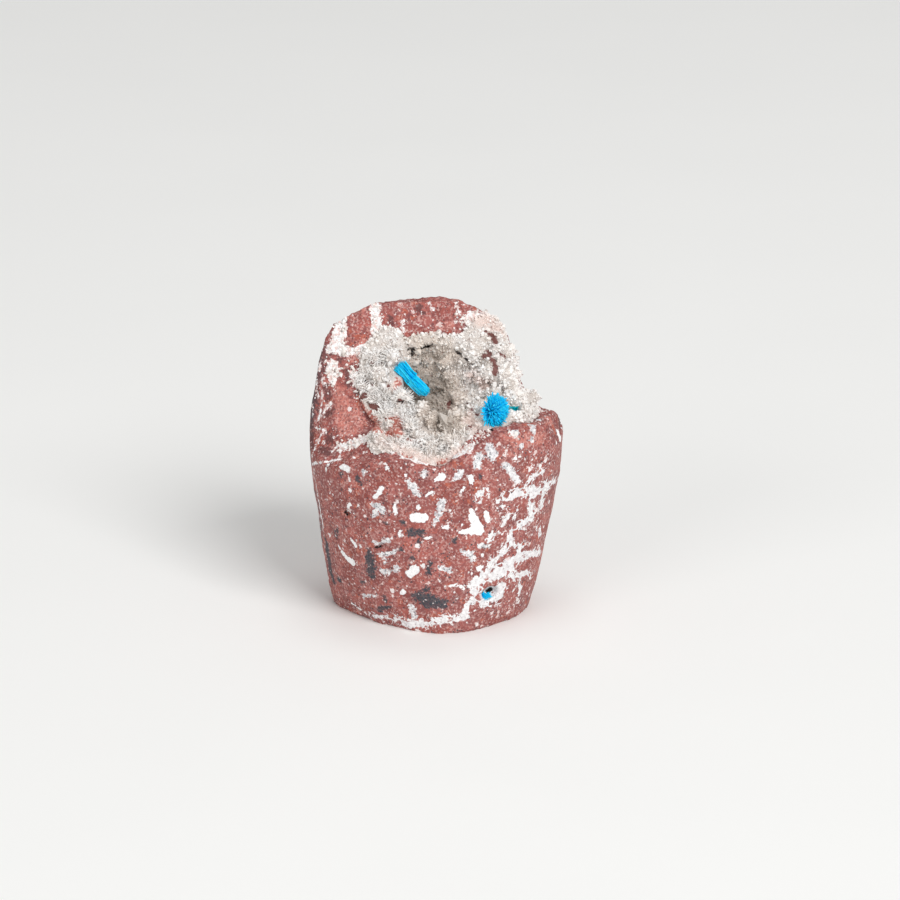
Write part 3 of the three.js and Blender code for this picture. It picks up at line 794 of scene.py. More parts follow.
def speckle_effect():
    """Scattered grains of a size in millimetres. Share is the part of them that shows."""
    graph, given, result = effect("Speckle", {"Size": 0.4, "Share": 0.15}, ["Mask", "Random"])
    place = graph.scaled(graph.place_mm(), given["Size"])
    cell = graph.add("ShaderNodeTexVoronoi", {"Vector": graph.shaken(place, 1.7, 0.9), "Scale": 1.0})
    chance = graph.add("ShaderNodeSeparateColor", {0: cell.outputs["Color"]}).outputs
    reach = graph.math("MULTIPLY_ADD", chance[1], 0.3, 0.25)
    inside = graph.ramp(graph.math("SUBTRACT", cell.outputs["Distance"], reach), 0.06, -0.06)
    shown = graph.math("LESS_THAN", chance[0], given["Share"])
    graph.tree.links.new(graph.math("MULTIPLY", inside, shown), result.inputs["Mask"])
    graph.tree.links.new(chance[2], result.inputs["Random"])
    return graph.tree


def ragged_effect():
    """A mark with a ragged edge, from the distance to its drawn edge. All inputs are millimetres."""
    inputs = {"Distance": 1.0, "Grain": 0.8, "Raggedness": 0.4, "Softness": 0.06}
    graph, given, result = effect("Ragged mark", inputs, ["Mask"])
    place = graph.scaled(graph.place_mm(), given["Grain"])
    edge = graph.add("ShaderNodeTexNoise", {"Vector": place, "Scale": 1.0, "Detail": 3.0, "Roughness": 0.65})
    stray = graph.math("MULTIPLY", graph.math("SUBTRACT", edge.outputs["Fac"], 0.5), given["Raggedness"])
    outside = graph.math("MULTIPLY_ADD", stray, 3.0, given["Distance"])
    mask = graph.ramp(outside, given["Softness"], graph.math("MULTIPLY", given["Softness"], -1.0))
    graph.tree.links.new(mask, result.inputs["Mask"])
    return graph.tree


def shared_effect(name, build):
    """A shared effect, built the first time that it is asked for."""
    return bpy.data.node_groups.get(name) or build()


def cloudy(graph, size, detail):
    """Cloudy change of 0 to 1, of a size in millimetres."""
    return graph.group(shared_effect("Mottle", mottle_effect), Size=size, Detail=detail)["Value"]


def scattered(graph, size, share):
    """Mask and random numbers of scattered grains, of a size in millimetres."""
    return graph.group(shared_effect("Speckle", speckle_effect), Size=size, Share=share)


def new_material(name, **constants):
    """A material with its graph and its shader, whose plain values are set on its own sockets."""
    material = bpy.data.materials.new(name)
    material.use_nodes = True
    graph = Graph(material.node_tree)
    shader = material.node_tree.nodes["Principled BSDF"]
    for socket, value in constants.items():
        shader.inputs[socket.replace("_", " ")].default_value = value
    return material, graph, shader


def finish_surface(graph, shader, colour, roughness, height, depth):
    """Links a material's colour, roughness and bump to its shader."""
    bump = graph.add("ShaderNodeBump", {"Height": height, "Distance": depth, "Strength": 1.0})
    graph.tree.links.new(colour, shader.inputs["Base Color"])
    graph.tree.links.new(roughness, shader.inputs["Roughness"])
    graph.tree.links.new(bump.outputs["Normal"], shader.inputs["Normal"])


def mark(graph, name, grain, raggedness, softness, reach=0.0):
    """Mask of a mark that the mesh keeps as a distance, and that can reach further. All are millimetres."""
    distance = graph.math("SUBTRACT", graph.stored(name), reach)
    return graph.group(shared_effect("Ragged mark", ragged_effect), Distance=distance, Grain=grain,
                       Raggedness=raggedness, Softness=softness)["Mask"]


def vein_net(graph):
    """Mask of white veins: bands with a few angular red islands, and short lines that leave them."""
    cell_mm = 1.1
    island_chance, line_chance = 0.4, 0.5
    band = mark(graph, "net", grain=0.6, raggedness=0.5, softness=0.05)
    heart = mark(graph, "net", grain=0.7, raggedness=0.4, softness=0.2, reach=-0.75)
    near = mark(graph, "net", grain=1.0, raggedness=1.2, softness=0.1, reach=0.35)
    place = graph.shaken(graph.scaled(graph.place_mm(), cell_mm), scale=1.6, amount=0.9)
    cell = graph.add("ShaderNodeTexVoronoi", {"Vector": place, "Scale": 1.0})
    chance = graph.add("ShaderNodeSeparateColor", {0: cell.outputs["Color"]}).outputs
    edge = graph.add("ShaderNodeTexVoronoi", {"Vector": place, "Scale": 1.0}, feature="DISTANCE_TO_EDGE")
    distance = edge.outputs["Distance"]
    has_island = graph.math("LESS_THAN", chance[0], island_chance)
    island = graph.math("MULTIPLY", graph.ramp(distance, low=0.1, high=0.15), has_island)
    island = graph.math("MULTIPLY", island, graph.math("SUBTRACT", 1.0, heart))
    has_line = graph.math("LESS_THAN", chance[1], line_chance)
    line = graph.math("MULTIPLY", graph.ramp(distance, low=0.14, high=0.09), has_line)
    line = graph.math("MULTIPLY", line, near)
    return graph.math("MAXIMUM", graph.math("SUBTRACT", band, island, clamp=True), line)


def breccia_ground(graph, rock, grainy, broken):
    """Brick-red ground with clouds, clasts, dark patches and a fine grain."""
    colour = graph.mix(cloudy(graph, size=2.4, detail=4.0), rock.deep_red, rock.red)
    colour = graph.tint(colour, rock.plum, cloudy(graph, size=5.5, detail=2.0), part=0.4)
    colour = graph.tint(colour, rock.plum, scattered(graph, size=1.7, share=0.26)["Mask"], part=0.4)
    colour = graph.tint(colour, rock.orange, scattered(graph, size=1.05, share=0.22)["Mask"], part=0.55)
    salmon = mark(graph, "salmon", grain=1.1, raggedness=0.9, softness=0.4)
    colour = graph.tint(colour, rock.salmon, salmon, part=0.75)

    grain = scattered(graph, size=0.25, share=0.0)["Random"]
    colour = graph.tint(colour, rock.pale, graph.ramp(grain, low=0.5, high=1.0), part=0.42)
    colour = graph.tint(colour, rock.plum, graph.ramp(grain, low=0.4, high=0.0), part=0.5)
    dark = mark(graph, "dark", grain=0.5, raggedness=0.75, softness=0.25)
    dark_colour = graph.mix(broken, rock.dark, rock.bark)
    colour = graph.tint(colour, dark_colour, dark, part=0.8)
    dots = scattered(graph, size=0.3, share=graph.math("MULTIPLY_ADD", dark, 0.85, 0.1))["Mask"]
    colour = graph.tint(colour, dark_colour, dots, part=0.8)
    clots = scattered(graph, size=0.45, share=graph.math("MULTIPLY", broken, 0.22))["Mask"]
    colour = graph.tint(colour, rock.bark, clots, part=0.5)

    specks = scattered(graph, size=0.36, share=graph.math("MULTIPLY_ADD", grainy, 0.26, 0.08))
    speck_colour = graph.mix(specks["Random"], rock.pale, rock.white)
    colour = graph.tint(colour, speck_colour, specks["Mask"], part=0.8)
    flecks = scattered(graph, size=0.8, share=graph.math("MULTIPLY_ADD", grainy, 0.28, 0.05))
    fleck_colour = graph.mix(flecks["Random"], rock.pale, rock.white)
    off_dark = graph.math("MULTIPLY_ADD", dark, -0.9, 0.9)
    return graph.tint(colour, fleck_colour, flecks["Mask"], part=off_dark)


def breccia_material(rock):
    """Brick-red ground with specks, clasts, veins and dark patches."""
    bump_depth = 0.05 * MM
    material, graph, shader = new_material("Breccia", Specular_IOR_Level=0.3)
    broken = graph.stored("broken")
    fine_clouds = cloudy(graph, size=0.5, detail=3.0)
    grainy = mark(graph, "grainy", grain=2.0, raggedness=1.2, softness=0.8)
    colour = breccia_ground(graph, rock, grainy, broken)

    stain = scattered(graph, size=0.26, share=0.3)["Mask"]
    pale_colour = graph.mix(graph.ramp(fine_clouds, low=0.1, high=0.7), rock.pale, rock.white)
    pale_colour = graph.tint(pale_colour, rock.plum, stain, part=0.35)
    colour = graph.mix(mark(graph, "pale", grain=0.6, raggedness=0.5, softness=0.1), colour, pale_colour)
    halo = mark(graph, "white", grain=0.5, raggedness=0.5, softness=0.14, reach=0.1)
    colour = graph.tint(colour, rock.plum, halo, part=0.4)
    grey_colour = graph.mix(fine_clouds, rock.grey, rock.white)
    grey_colour = graph.tint(grey_colour, rock.dark, stain, part=0.7)
    colour = graph.mix(mark(graph, "grey", grain=0.45, raggedness=0.6, softness=0.08), colour, grey_colour)
    veins = vein_net(graph)
    vein_colour = graph.tint(rock.white, rock.grey, fine_clouds, part=0.45)
    vein_colour = graph.tint(vein_colour, rock.plum, stain, part=0.4)
    colour = graph.mix(veins, colour, vein_colour)
    clasts = mark(graph, "white", grain=0.5, raggedness=0.32, softness=0.05)
    colour = graph.mix(clasts, colour, graph.tint(rock.white, rock.grey, stain, part=0.3))
    # Painted shade: pits and clefts turn near-black, with a painted shadow under the rosette
    colour = graph.mix(mark(graph, "hole", grain=0.5, raggedness=0.2, softness=0.1), colour, rock.hole)

    rough = graph.math("MULTIPLY_ADD", broken, 0.15, 0.64)
    rough = graph.math("MULTIPLY_ADD", graph.math("MAXIMUM", clasts, veins), -0.1, rough)
    pits = scattered(graph, size=0.3, share=0.3)["Mask"]
    height = graph.math("SUBTRACT", cloudy(graph, size=0.28, detail=4.0), pits)
    finish_surface(graph, shader, colour, rough, height, bump_depth)
    return material


def zeolite_material(crust):
    """White to cream crystals, with painted shade in the depth of the hollow, between the crystals and in the
    clefts.
    """
    bump_depth = 0.03 * MM
    material, graph, shader = new_material("Zeolite", Specular_IOR_Level=0.45)
    tint = graph.stored("tint")
    cloud_stain = graph.math("MULTIPLY", graph.math("ADD", tint, cloudy(graph, size=1.8, detail=3.0)), 0.35)
    # Painted shade: greyish brown that grows deeper into the hollow, added to the cream stain
    deep_shade = graph.ramp(graph.stored("smoke"), low=3.6, high=0.4)
    stain = graph.math("MULTIPLY_ADD", deep_shade, 0.6, cloud_stain, clamp=True)
    colour = graph.mix(stain, crust.white, crust.cream)
    # Painted shade: the crystals' feet and the bare lining darken towards the crevice colour
    low = graph.ramp(graph.stored("rise"), low=0.5, high=0.1)
    colour = graph.tint(colour, crust.crevice_shade, low, part=0.45)
    # Painted shade over the depth of the hollow
    smoke = mark(graph, "smoke", grain=2.0, raggedness=1.0, softness=1.4)
    colour = graph.tint(colour, crust.smoke, smoke, part=0.8)
    blush = mark(graph, "blush", grain=1.6, raggedness=1.0, softness=0.9)
    colour = graph.tint(colour, crust.blush, blush, part=0.5)
    pores = scattered(graph, size=0.34, share=0.1)["Mask"]
    colour = graph.tint(colour, crust.bare, pores, part=0.55)
    colour = graph.mix(mark(graph, "bare", grain=0.6, raggedness=0.5, softness=0.12), colour, crust.bare)
    grain = cloudy(graph, size=0.4, detail=2.0)
    red = graph.mix(grain, crust.red, crust.blush)
    red = graph.mix(graph.ramp(grain, low=0.5, high=0.9), crust.red, red)
    colour = graph.mix(mark(graph, "red", grain=0.6, raggedness=0.7, softness=0.12), colour, red)
    # Painted shade and a painted shadow: near-black clefts, cracks and the shadow under the sheaf
    colour = graph.mix(mark(graph, "gap", grain=0.5, raggedness=0.3, softness=0.12), colour, crust.gap)
    rough = graph.math("MULTIPLY_ADD", tint, 0.2, 0.35)
    finish_surface(graph, shader, colour, rough, cloudy(graph, size=0.22, detail=3.0), bump_depth)
    return material


def cavansite_material(spray):
    """Vivid blue blades, with a painted highlight at their tips and on a spray's lit side."""
    bump_depth = 0.015 * MM
    material, graph, shader = new_material("Cavansite", Specular_IOR_Level=0.12)
    colour = graph.mix(graph.stored("tint"), spray.deep_blue, spray.blue)
    clouds = cloudy(graph, size=0.5, detail=2.0)
    # Painted highlight: lighter cyan towards the blades' ends and on a spray's lit side
    light = graph.math("MULTIPLY", graph.stored("tip"), clouds)
    colour = graph.tint(colour, spray.highlight_blue, light, part=0.7)
    colour = graph.mix(graph.stored("green"), colour, spray.sea_green)
    rough = graph.math("MULTIPLY_ADD", clouds, 0.2, 0.3)
    finish_surface(graph, shader, colour, rough, cloudy(graph, size=0.12, detail=2.0), bump_depth)
    return material


def floor_material(stage):
    """Pale matt floor."""
    bump_depth = 0.01 * MM
    shaded = 0.985
    material, graph, shader = new_material("Pale floor", Specular_IOR_Level=0.2)
    clouds = cloudy(graph, size=60.0, detail=2.0)
    colour = graph.mix(clouds, stage.floor, tuple(value * shaded for value in stage.floor))
    rough = graph.math("MULTIPLY_ADD", clouds, 0.05, 0.6)
    finish_surface(graph, shader, colour, rough, clouds, bump_depth)
    return material


# The rock


def smooth_step(values, low, high):
    """0 below low, 1 above high, and smooth between."""
    share = np.clip((values - low) / (high - low), 0.0, 1.0)
    return share * share * (3 - 2 * share)


def roughen(mesh, rock):
    """Raises lumps and grain on the broken face and a little on the sawn wall. Returns the break's weight."""
    lump_mm, grain_mm, saw_mm, base_mm = 1.7, 0.55, 0.9, 0.5
    wall_slope, break_slope = 0.14, 0.42
    points = points_of(mesh)
    normals = normals_of(mesh)
    broken = smooth_step(normals[:, 2], wall_slope, break_slope)
    standing = smooth_step(points[:, 2] / MM, 0.0, base_mm)
    moved = np.empty(len(points))
    for index, point in enumerate(points / MM):
        place = Vector(point)
        lumps = noise.noise(place / lump_mm) * rock.break_relief
        grain = noise.noise(place / grain_mm) * rock.grain_relief
        saw = noise.noise(place / saw_mm) * rock.wall_relief
        moved[index] = broken[index] * (lumps + grain) + (1 - broken[index]) * saw
    raise_surface(mesh, points, normals, moved * standing)
    return broken


def unseen_places(mesh, stage, rng, count):
    """Random places on the sides that the photograph doesn't show, with their normals."""
    spare = 8
    edge_on = 0.08
    underside = -0.6
    foot = 1.0 * MM
    places, normals = sampled(points_of(mesh), triangles_of(mesh), rng, count * spare + spare)
    to_eye = np.array(photo_axes(stage)[0]) - places
    facing = (normals * to_eye).sum(axis=1) / np.linalg.norm(to_eye, axis=1)
    hidden = (facing < edge_on) & (normals[:, 2] > underside) & (places[:, 2] > foot)
    return list(zip(places[hidden][:count], normals[hidden][:count]))


def strewn(tree, rng, spot, steps, half_mm):
    """A chain that wanders from a spot, with a number of steps and a half width between two limits."""
    place, normal = spot
    count = int(rng.integers(*steps))
    return wandering(tree, rng, Vector(place), Vector(normal), count, rng.uniform(*half_mm))


def unseen_marks(mesh, tree, stage, rock):
    """Chains of white, grey, dark and veined marks on the unseen sides, like those on the front."""
    seed = 41
    white_share = 0.7
    fine_mm = (0.2, 0.6)
    broad_mm = (0.4, 1.0)
    rng = np.random.default_rng(seed)
    white, grey = [], []
    for spot in unseen_places(mesh, stage, rng, rock.hidden_clasts):
        kind = white if rng.random() < white_share else grey
        kind.append(strewn(tree, rng, spot, (1, 4), fine_mm))
    spots = unseen_places(mesh, stage, rng, rock.hidden_patches)
    dark = [strewn(tree, rng, spot, (1, 5), broad_mm) for spot in spots]
    spots = unseen_places(mesh, stage, rng, rock.hidden_veins)
    net = [strewn(tree, rng, spot, (10, 26), fine_mm) for spot in spots]
    return white, grey, dark, net


def bent(points, shift_mm):
    """Places in millimetres, shifted a little by noise, so that marks drawn on them look natural."""
    size_mm = 1.6
    seed = 23
    noise.seed_set(seed)
    shifts = [noise.noise_vector(Vector(point) / size_mm) for point in points]
    return points + shift_mm * np.array(shifts)


def build_rock(scene):
    """The breccia stump."""
    loose_mm, crisp_mm = 0.35, 0.18
    rock = scene.cavansite_rock
    stage = scene.cavansite_stage
    mesh = even_faced("matrix", rock.face)
    broken = roughen(mesh, rock)
    tree = tree_of(mesh)
    white, grey, dark, net = unseen_marks(mesh, tree, stage, rock)
    points = points_of(mesh) / MM
    loose = bent(points, loose_mm)
    crisp = bent(points, crisp_mm)
    marks = {
        "white": (crisp, WHITE_STROKES, white),
        "net": (crisp, NET_STROKES, net),
        "grey": (crisp, GREY_STROKES, grey),
        "dark": (loose, DARK_STROKES, dark),
        "hole": (points, PIT_SHADE_STROKES, []),
        "pale": (loose, PALE_STROKES, []),
        "salmon": (loose, SALMON_STROKES, []),
        "grainy": (loose, GRAINY_STROKES, []),
    }
    store(mesh, "broken", broken)
    for name, (places, strokes, unseen) in marks.items():
        store(mesh, name, field(places, laid_all(tree, stage, strokes) + unseen))
    piece_of("breccia_rock", mesh, ["matrix"], breccia_material(rock))


# The crust


def grow(mesh, growth):
    """Moves a mesh's surface outwards, with a little unevenness."""
    bump_mm = 0.9
    unevenness = 0.5
    points = points_of(mesh)
    bumps = np.array([noise.noise(Vector(point) / bump_mm) for point in points / MM])
    raise_surface(mesh, points, normals_of(mesh), growth * (1.0 + unevenness * bumps))


def exposed(places, normals, rock_tree):
    """Which places of the lining look into the open, and not into the rock."""
    reach = 0.6 * MM
    lift = 0.35 * MM
    free = []
    for place, normal in zip(places, normals):
        start = Vector(place) - Vector(normal) * lift
        free.append(rock_tree.ray_cast(start, Vector(normal), reach + lift)[0] is None)
    return np.array(free)


def in_sprays(places):
    """Which places lie in the boxes of the blue sprays, grown a little."""
    margin = 0.15 * MM
    inside = np.zeros(len(places), dtype=bool)
    for plan in SPRAYS.values():
        low, high = (np.array(corner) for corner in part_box(plan["node"]))
        inside |= ((places > low - margin) & (places < high + margin)).all(axis=1)
    return inside


def crystals(rng, places, normals, length, tilt):
    """Corners, triangles, tints and rises of crystals that stand on places, of three habits."""
    habits = (prism(4, 0.6, 0.12, 0.8), prism(4, 0.75, 0.55, 0.55), prism(4, 0.5, 0.1, 0.1))
    length_spread = 0.45
    sunk = 0.5
    count = len(places)
    habit = rng.integers(0, len(habits), count)
    axes = normals + rng.normal(scale=tilt, size=normals.shape)
    axes /= np.linalg.norm(axes, axis=1, keepdims=True)
    spins = rng.uniform(0, math.tau, count)
    long = length * rng.lognormal(0.0, length_spread, count)
    wide = long * rng.uniform(0.45, 0.85, count)
    sizes = np.stack((wide, wide * rng.uniform(0.5, 1.0, count), long), axis=1)
    feet = places - axes * (long * sunk)[:, None]
    tint = rng.random(count)
    parts = []
    for number, template in enumerate(habits):
        mine = habit == number
        placed, faces = copies(template, feet[mine], axes[mine], spins[mine], sizes[mine])
        rises = np.tile(template[0][:, 2], mine.sum())
        parts.append((placed, faces, np.repeat(tint[mine], len(template[0])), rises))
    return parts


def needles(rng, places, normals, length):
    """Corners, triangles, tints and rises of tufts of slim white needles that lean all ways."""
    per_tuft = 7
    upright, lean = 0.5, 0.6
    template = prism(3, 0.85, 0.3, 0.3)
    feet = np.repeat(places, per_tuft, axis=0)
    axes = upright * np.repeat(normals, per_tuft, axis=0) + rng.normal(scale=lean, size=feet.shape)
    axes /= np.linalg.norm(axes, axis=1, keepdims=True)
    long = length * rng.uniform(0.5, 1.2, len(feet))
    wide = length * rng.uniform(0.07, 0.13, len(feet))
    spins = rng.uniform(0, math.tau, len(feet))
    placed, faces = copies(template, feet, axes, spins, np.stack((wide, wide, long), axis=1))
    return [(placed, faces, np.zeros(len(placed)), np.ones(len(placed)))]


def stacked(corners, triangles):
    """One array of corners and one of triangles, from several of each."""
    starts = np.cumsum([0] + [len(part) for part in corners[:-1]])
    shifted = [part + start for part, start in zip(triangles, starts)]
    return np.concatenate(corners), np.concatenate(shifted)


def mesh_of(name, corners, triangles, smooth):
    """A mesh of arrays, whose first triangles are shaded smooth."""
    mesh = bpy.data.meshes.new(name)
    mesh.from_pydata(corners.tolist(), [], triangles.tolist())
    mesh.polygons.foreach_set("use_smooth", np.arange(len(triangles)) < smooth)
    mesh.update()
    return mesh


def build_crust(scene):
    """The lining of the hollow, its crystals and the grains spread on the broken face."""
    seed = 17
    lining_tries, spill_tries = 60000, 90000
    cleft_shade_reach_mm, spill_blur_mm = 0.2, 0.35
    lining_tint = 0.5
    tilt, spill_tilt = 0.5, 0.6
    crust = scene.cavansite_crust
    stage = scene.cavansite_stage
    rng = np.random.default_rng(seed)
    rock_mesh = bpy.data.objects["breccia_rock"].data
    rock_tree = tree_of(rock_mesh)
    lining = even_faced("zeolite_crust", crust.face)
    grow(lining, crust.growth)
    lining_tree = tree_of(lining)
    lining_points = points_of(lining)
    lining_triangles = triangles_of(lining)
    marks = {"smoke": HOLLOW_SHADE_STROKES, "blush": BLUSH_STROKES, "bare": BARE_STROKES, "red": RED_STROKES,
             "gap": CLEFT_SHADE_STROKES}
    chains = {name: laid_all(lining_tree, stage, strokes) for name, strokes in marks.items()}

    places, normals = sampled(lining_points, lining_triangles, rng, lining_tries)
    kept = thinned(places, crust.spacing)
    places, normals = places[kept], normals[kept]
    clear = field(places / MM, chains["bare"] + chains["red"]) > 0.0
    # No crystals grow in the painted shade of the clefts and cracks
    clear &= field(places / MM, chains["gap"]) > cleft_shade_reach_mm
    open_air = exposed(places, normals, rock_tree) & clear & ~in_sprays(places)
    places, normals = places[open_air], normals[open_air]
    count = len(lining_points)
    # The lining's rise of 0 gives it the full painted crevice shade
    parts = [(lining_points, lining_triangles, np.full(count, lining_tint), np.zeros(count))]
    parts += crystals(rng, places, normals, crust.crystal, tilt)
    in_tufts = field(places / MM, laid_all(lining_tree, stage, NEEDLE_STROKES)) < 0.0
    tuft_places, tuft_normals = places[in_tufts], normals[in_tufts]
    kept = thinned(tuft_places, crust.needle / 2)
    parts += needles(rng, tuft_places[kept], tuft_normals[kept], crust.needle)

    places, normals = sampled(points_of(rock_mesh), triangles_of(rock_mesh), rng, spill_tries)
    spill = field(places / MM, laid_all(rock_tree, stage, SPILL_STROKES))
    inside = spill < rng.normal(0.0, spill_blur_mm, len(places))
    places, normals = places[inside], normals[inside]
    kept = thinned(places, crust.spill_spacing)
    places, normals = places[kept], normals[kept]
    parts += crystals(rng, places, normals, crust.grain, spill_tilt)
    in_knobs = field(places / MM, laid_all(rock_tree, stage, KNOB_STROKES)) < 0.0
    parts += crystals(rng, places[in_knobs], normals[in_knobs], crust.knob, tilt)

    corners, triangles, tints, rises = zip(*parts)
    mesh = mesh_of("zeolite_druse", *stacked(corners, triangles), len(lining_triangles))
    bpy.data.meshes.remove(lining)
    store(mesh, "tint", np.concatenate(tints))
    store(mesh, "rise", np.concatenate(rises))
    for name, chain in chains.items():
        store(mesh, name, field(points_of(mesh) / MM, chain))
    piece_of("zeolite_druse", mesh, ["zeolite_crust"], zeolite_material(crust))


# The sprays

# Each spray: its solid, where its core is as a share of the solid's box, which way it points, the angles
# that its front and back blades fan out by, how many blades there are, how wide they are against the usual
# width, their length and the core's radius as shares of the box's largest side, how x, y and z are stretched,
# how much the front blades close in to a point, how uneven the lengths are, the side that gets a painted
# highlight, how green it is, and the shoulder, point and ridge of a blade. What a spray leaves out is as in
# USUAL_SPRAY
USUAL_SPRAY = {
    "back_fan": 0.0, "closing": 0.0, "light": (0.0, 0.0, 0.0), "green": 0.0, "tip": (0.8, 0.2, 0.35),
}
SPRAYS = {
    "rosette_blades": {
        "node": "cavansite_rosette", "core": (0.33, 0.64, 0.5), "toward": (0.75, -0.6, 0.2), "fan": 84.0,
        "blades": 620, "width": 1.35, "reach": 0.58, "waist": 0.06, "stretch": (1.0, 0.9, 1.0),
        "uneven": 0.05, "tip": (0.85, 0.45, 0.5),
    },
    "sheaf_blades": {
        "node": "cavansite_sheaf", "core": (0.515, 0.45, 0.48), "toward": (0.71, -0.3, -0.63), "fan": 5.0,
        "back_fan": 13.0, "blades": 400, "width": 1.0, "reach": 0.68, "waist": 0.07,
        "stretch": (1.0, 1.0, 1.0), "closing": 0.1, "uneven": 0.14, "light": (-0.6, -0.4, -0.7),
    },
    "sprig_blades": {
        "node": "cavansite_sprig", "core": (0.4, 0.65, 0.35), "toward": (0.4, -0.6, 0.6), "fan": 100.0,
        "blades": 70, "width": 0.9, "reach": 0.8, "waist": 0.1, "stretch": (1.3, 1.0, 0.7),
        "uneven": 0.3, "green": 0.8,
    },
    "pit_blades": {
        "node": "cavansite_in_pit", "core": (0.2, 0.7, 0.35), "toward": (0.3, -0.8, 0.1), "fan": 95.0,
        "blades": 110, "width": 0.8, "reach": 0.75, "waist": 0.12, "stretch": (1.3, 0.9, 0.6),
        "uneven": 0.3, "light": (0.3, -0.3, -0.8),
    },
}


def fanned(rng, toward, fan, count):
    """Random directions within an angle of a main one, even over the cap that they fill."""
    heights = 1 - rng.random(count) * (1 - math.cos(math.radians(fan)))
    around = rng.uniform(0, math.tau, count)
    level = np.sqrt(1 - heights * heights)
    local = np.stack((level * np.cos(around), level * np.sin(around), heights), axis=1)
    basis = turned(np.array([toward]), np.zeros(1))[0]
    return local @ basis.T


def build_spray(name, plan, spray, material, rng):
    """One spray of fine blades that fan out from a core."""
    thinnest, widest = 0.6, 1.2
    stoutest = 0.3
    flatness = 0.55
    rounding, most_rounded = 0.06, 3.0
    side_highlight = 1.3
    low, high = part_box(plan["node"])
    core = np.array([a + (b - a) * share for a, b, share in zip(low, high, plan["core"])])
    toward = np.array(plan["toward"]) / np.linalg.norm(plan["toward"])
    side = max(high - low)
    reach = side * plan["reach"]
    waist = side * plan["waist"]
    count = round(plan["blades"] * spray.density)
    front = count // 2 if plan["back_fan"] else count
    axes = np.concatenate((fanned(rng, toward, plan["fan"], front),
                           fanned(rng, -toward, plan["back_fan"], count - front)))
    scatter = rng.normal(scale=waist, size=(count, 3))
    scatter -= np.outer(scatter @ toward, toward)
    axes[:front] -= scatter[:front] * plan["closing"] / reach
    spread = axes * plan["stretch"]
    stretch = np.linalg.norm(spread, axis=1)
    outer = np.minimum(np.linalg.norm(scatter, axis=1) / waist, most_rounded)
    rounded = 1.0 - rounding * outer * (plan["back_fan"] > 0.0)
    long = reach * stretch * rounded * rng.uniform(1.0 - plan["uneven"], 1.0, count)
    wide = np.minimum(spray.width * plan["width"] * rng.uniform(thinnest, widest, count), long * stoutest)
    sizes = np.stack((wide, wide * flatness, long), axis=1)
    template = prism(4, *plan["tip"])
    spins = rng.uniform(0, math.tau, count)
    corners, triangles = copies(template, core + scatter, spread / stretch[:, None], spins, sizes)
    mesh = mesh_of(name, corners, triangles, 0)
    store(mesh, "tint", np.repeat(rng.random(count), len(template[0])))
    # Painted highlight on the side of a spray that faces its light direction
    highlit = np.clip(scatter @ plan["light"] / waist, 0.0, 1.0)
    tips = np.tile(template[0][:, 2], count)
    store(mesh, "tip", np.maximum(tips, side_highlight * np.repeat(highlit, len(template[0]))))
    store(mesh, "green", np.full(len(corners), plan["green"]))
    piece_of(name, mesh, [plan["node"]], material)


def build_sprays(scene):
    """All the cavansite sprays."""
    spray = scene.cavansite_spray
    material = cavansite_material(spray)
    seed = 29
    rng = np.random.default_rng(seed)
    for name, plan in SPRAYS.items():
        build_spray(name, {**USUAL_SPRAY, **plan}, spray, material, rng)


# The stage


# How far the lights are, how large they are, and each one's azimuth, 0 in front and positive to the right,
# and its height above the floor, in degrees
LIGHT_DISTANCE = 2.0
LIGHT_SIZE = 1.0
LIGHTS = {"key": (35.0, 38.0), "fill": (-42.0, 20.0), "top": (170.0, 82.0)}


def area_light(name, stage):
    """A soft square light that looks at the middle of the picture."""
    azimuth, height = (math.radians(angle) for angle in LIGHTS[name])
    level = math.cos(height)
    back = Vector((math.sin(azimuth) * level, -math.cos(azimuth) * level, math.sin(height)))
    light = bpy.data.lights.new(name, "AREA")
    light.size = LIGHT_SIZE
    light.energy = getattr(stage, name)
    lamp = bpy.data.objects.new(name, light)
    lamp.location = Vector(stage.target) + back * LIGHT_DISTANCE
    lamp.rotation_euler = back.to_track_quat("Z", "Y").to_euler()
    bpy.context.scene.collection.objects.link(lamp)


def build_camera(scene):
    """The camera at the photograph's view."""
    stage = scene.cavansite_stage
    eye, ahead, right, up = photo_axes(stage)
    camera = bpy.data.cameras.new("Camera")
    camera.sensor_width = SENSOR_MM
    camera.lens = PIXELS_PER_METRE * stage.distance * SENSOR_MM / PHOTO_SIDE
    camera.clip_start = 0.01
    holder = bpy.data.objects.new("Camera", camera)
    holder.matrix_world = Matrix((right, up, -ahead)).transposed().to_4x4()
    holder.location = eye
    scene.collection.objects.link(holder)
    scene.camera = holder


def build_stage(scene):
    """Camera, floor and light."""
    stage = scene.cavansite_stage
    build_camera(scene)
    shape = bmesh.new()
    bmesh.ops.create_grid(shape, x_segments=4, y_segments=4, size=stage.floor_size / 2)
    mesh = bpy.data.meshes.new("floor")
    shape.to_mesh(mesh)
    shape.free()
    mesh.materials.append(floor_material(stage))
    floor = bpy.data.objects.new("floor", mesh)
    scene.collection.objects.link(floor)
    for name in LIGHTS:
        area_light(name, stage)
    world = bpy.data.worlds.new("Soft surrounding")
    world.use_nodes = True
    background = world.node_tree.nodes["Background"]
    background.inputs["Color"].default_value = (1.0, 1.0, 1.0, 1.0)
    background.inputs["Strength"].default_value = stage.sky
    scene.world = world
    scene.view_settings.view_transform = "Standard"


class CAVANSITE_OT_stage(Operator):
    """Set up the camera, the pale floor and the soft light"""

    bl_idname = "cavansite.stage"
    bl_label = "Stage"

    def execute(self, context):
        build_stage(context.scene)
        return {"FINISHED"}


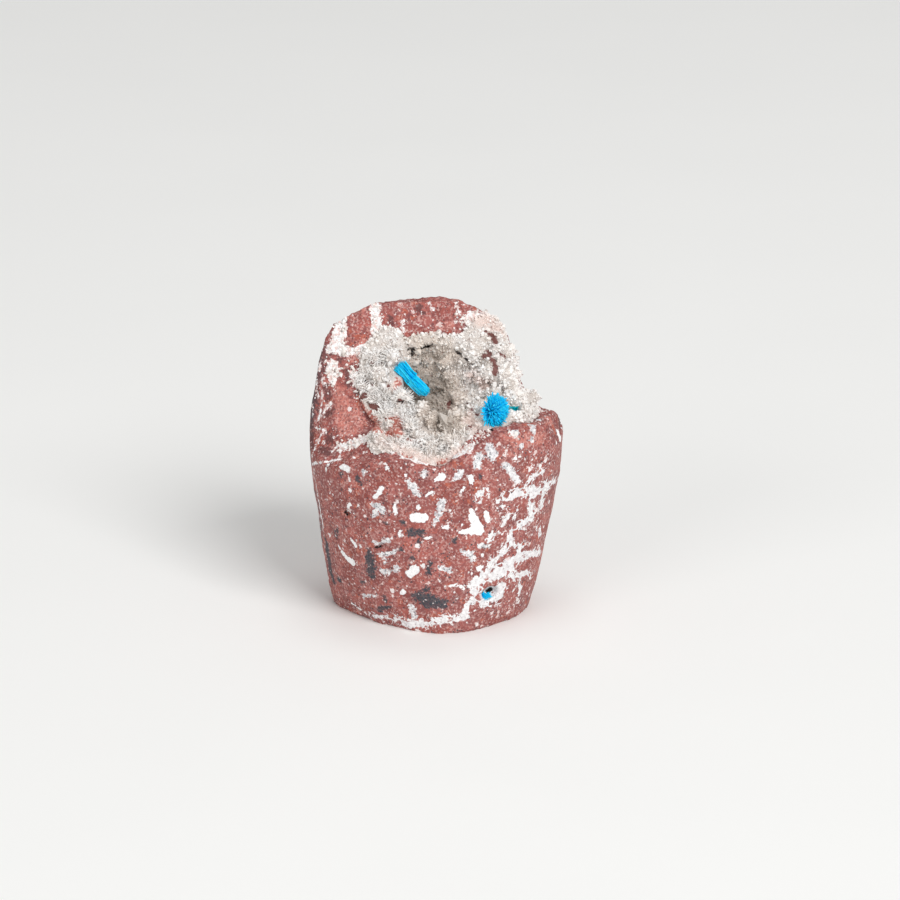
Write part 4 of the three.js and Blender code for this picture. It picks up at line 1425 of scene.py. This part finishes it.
class CAVANSITE_OT_rock(Operator):
    """Build the breccia stump with its sawn wall and broken top"""

    bl_idname = "cavansite.rock"
    bl_label = "Rock"

    def execute(self, context):
        build_rock(context.scene)
        return {"FINISHED"}


class CAVANSITE_OT_crust(Operator):
    """Build the zeolite crust that lines the hollow. The rock comes first"""

    bl_idname = "cavansite.crust"
    bl_label = "Crust"

    def execute(self, context):
        build_crust(context.scene)
        return {"FINISHED"}


class CAVANSITE_OT_sprays(Operator):
    """Build the four blue sprays"""

    bl_idname = "cavansite.sprays"
    bl_label = "Sprays"

    def execute(self, context):
        build_sprays(context.scene)
        return {"FINISHED"}


class CAVANSITE_PT_panel(Panel):
    """Lists the pieces with their sizes and colours"""

    bl_idname = "CAVANSITE_PT_panel"
    bl_label = "Cavansite specimen"
    bl_space_type = "VIEW_3D"
    bl_region_type = "UI"
    bl_category = "Cavansite"

    def draw(self, context):
        for name, operator in STEPS.items():
            box = self.layout.box()
            settings = getattr(context.scene, name)
            for key in settings.__annotations__:
                box.prop(settings, key)
            box.operator(operator.bl_idname)


SETTINGS = {
    "cavansite_stage": StageSettings,
    "cavansite_rock": RockSettings,
    "cavansite_crust": CrustSettings,
    "cavansite_spray": SpraySettings,
}
STEPS = {
    "cavansite_stage": CAVANSITE_OT_stage,
    "cavansite_rock": CAVANSITE_OT_rock,
    "cavansite_crust": CAVANSITE_OT_crust,
    "cavansite_spray": CAVANSITE_OT_sprays,
}
CLASSES = (*SETTINGS.values(), *STEPS.values(), CAVANSITE_PT_panel)


def register():
    """Registers the classes and gives the scene their settings."""
    for kind in CLASSES:
        bpy.utils.register_class(kind)
    for name, kind in SETTINGS.items():
        setattr(bpy.types.Scene, name, PointerProperty(type=kind))


def unregister():
    """Takes the settings and the classes away again."""
    for name in SETTINGS:
        delattr(bpy.types.Scene, name)
    for kind in reversed(CLASSES):
        bpy.utils.unregister_class(kind)


def main():
    """Builds the stage and every piece."""
    register()
    bpy.ops.cavansite.stage()
    bpy.ops.cavansite.rock()
    bpy.ops.cavansite.crust()
    bpy.ops.cavansite.sprays()


if __name__ == "__main__":
    main()
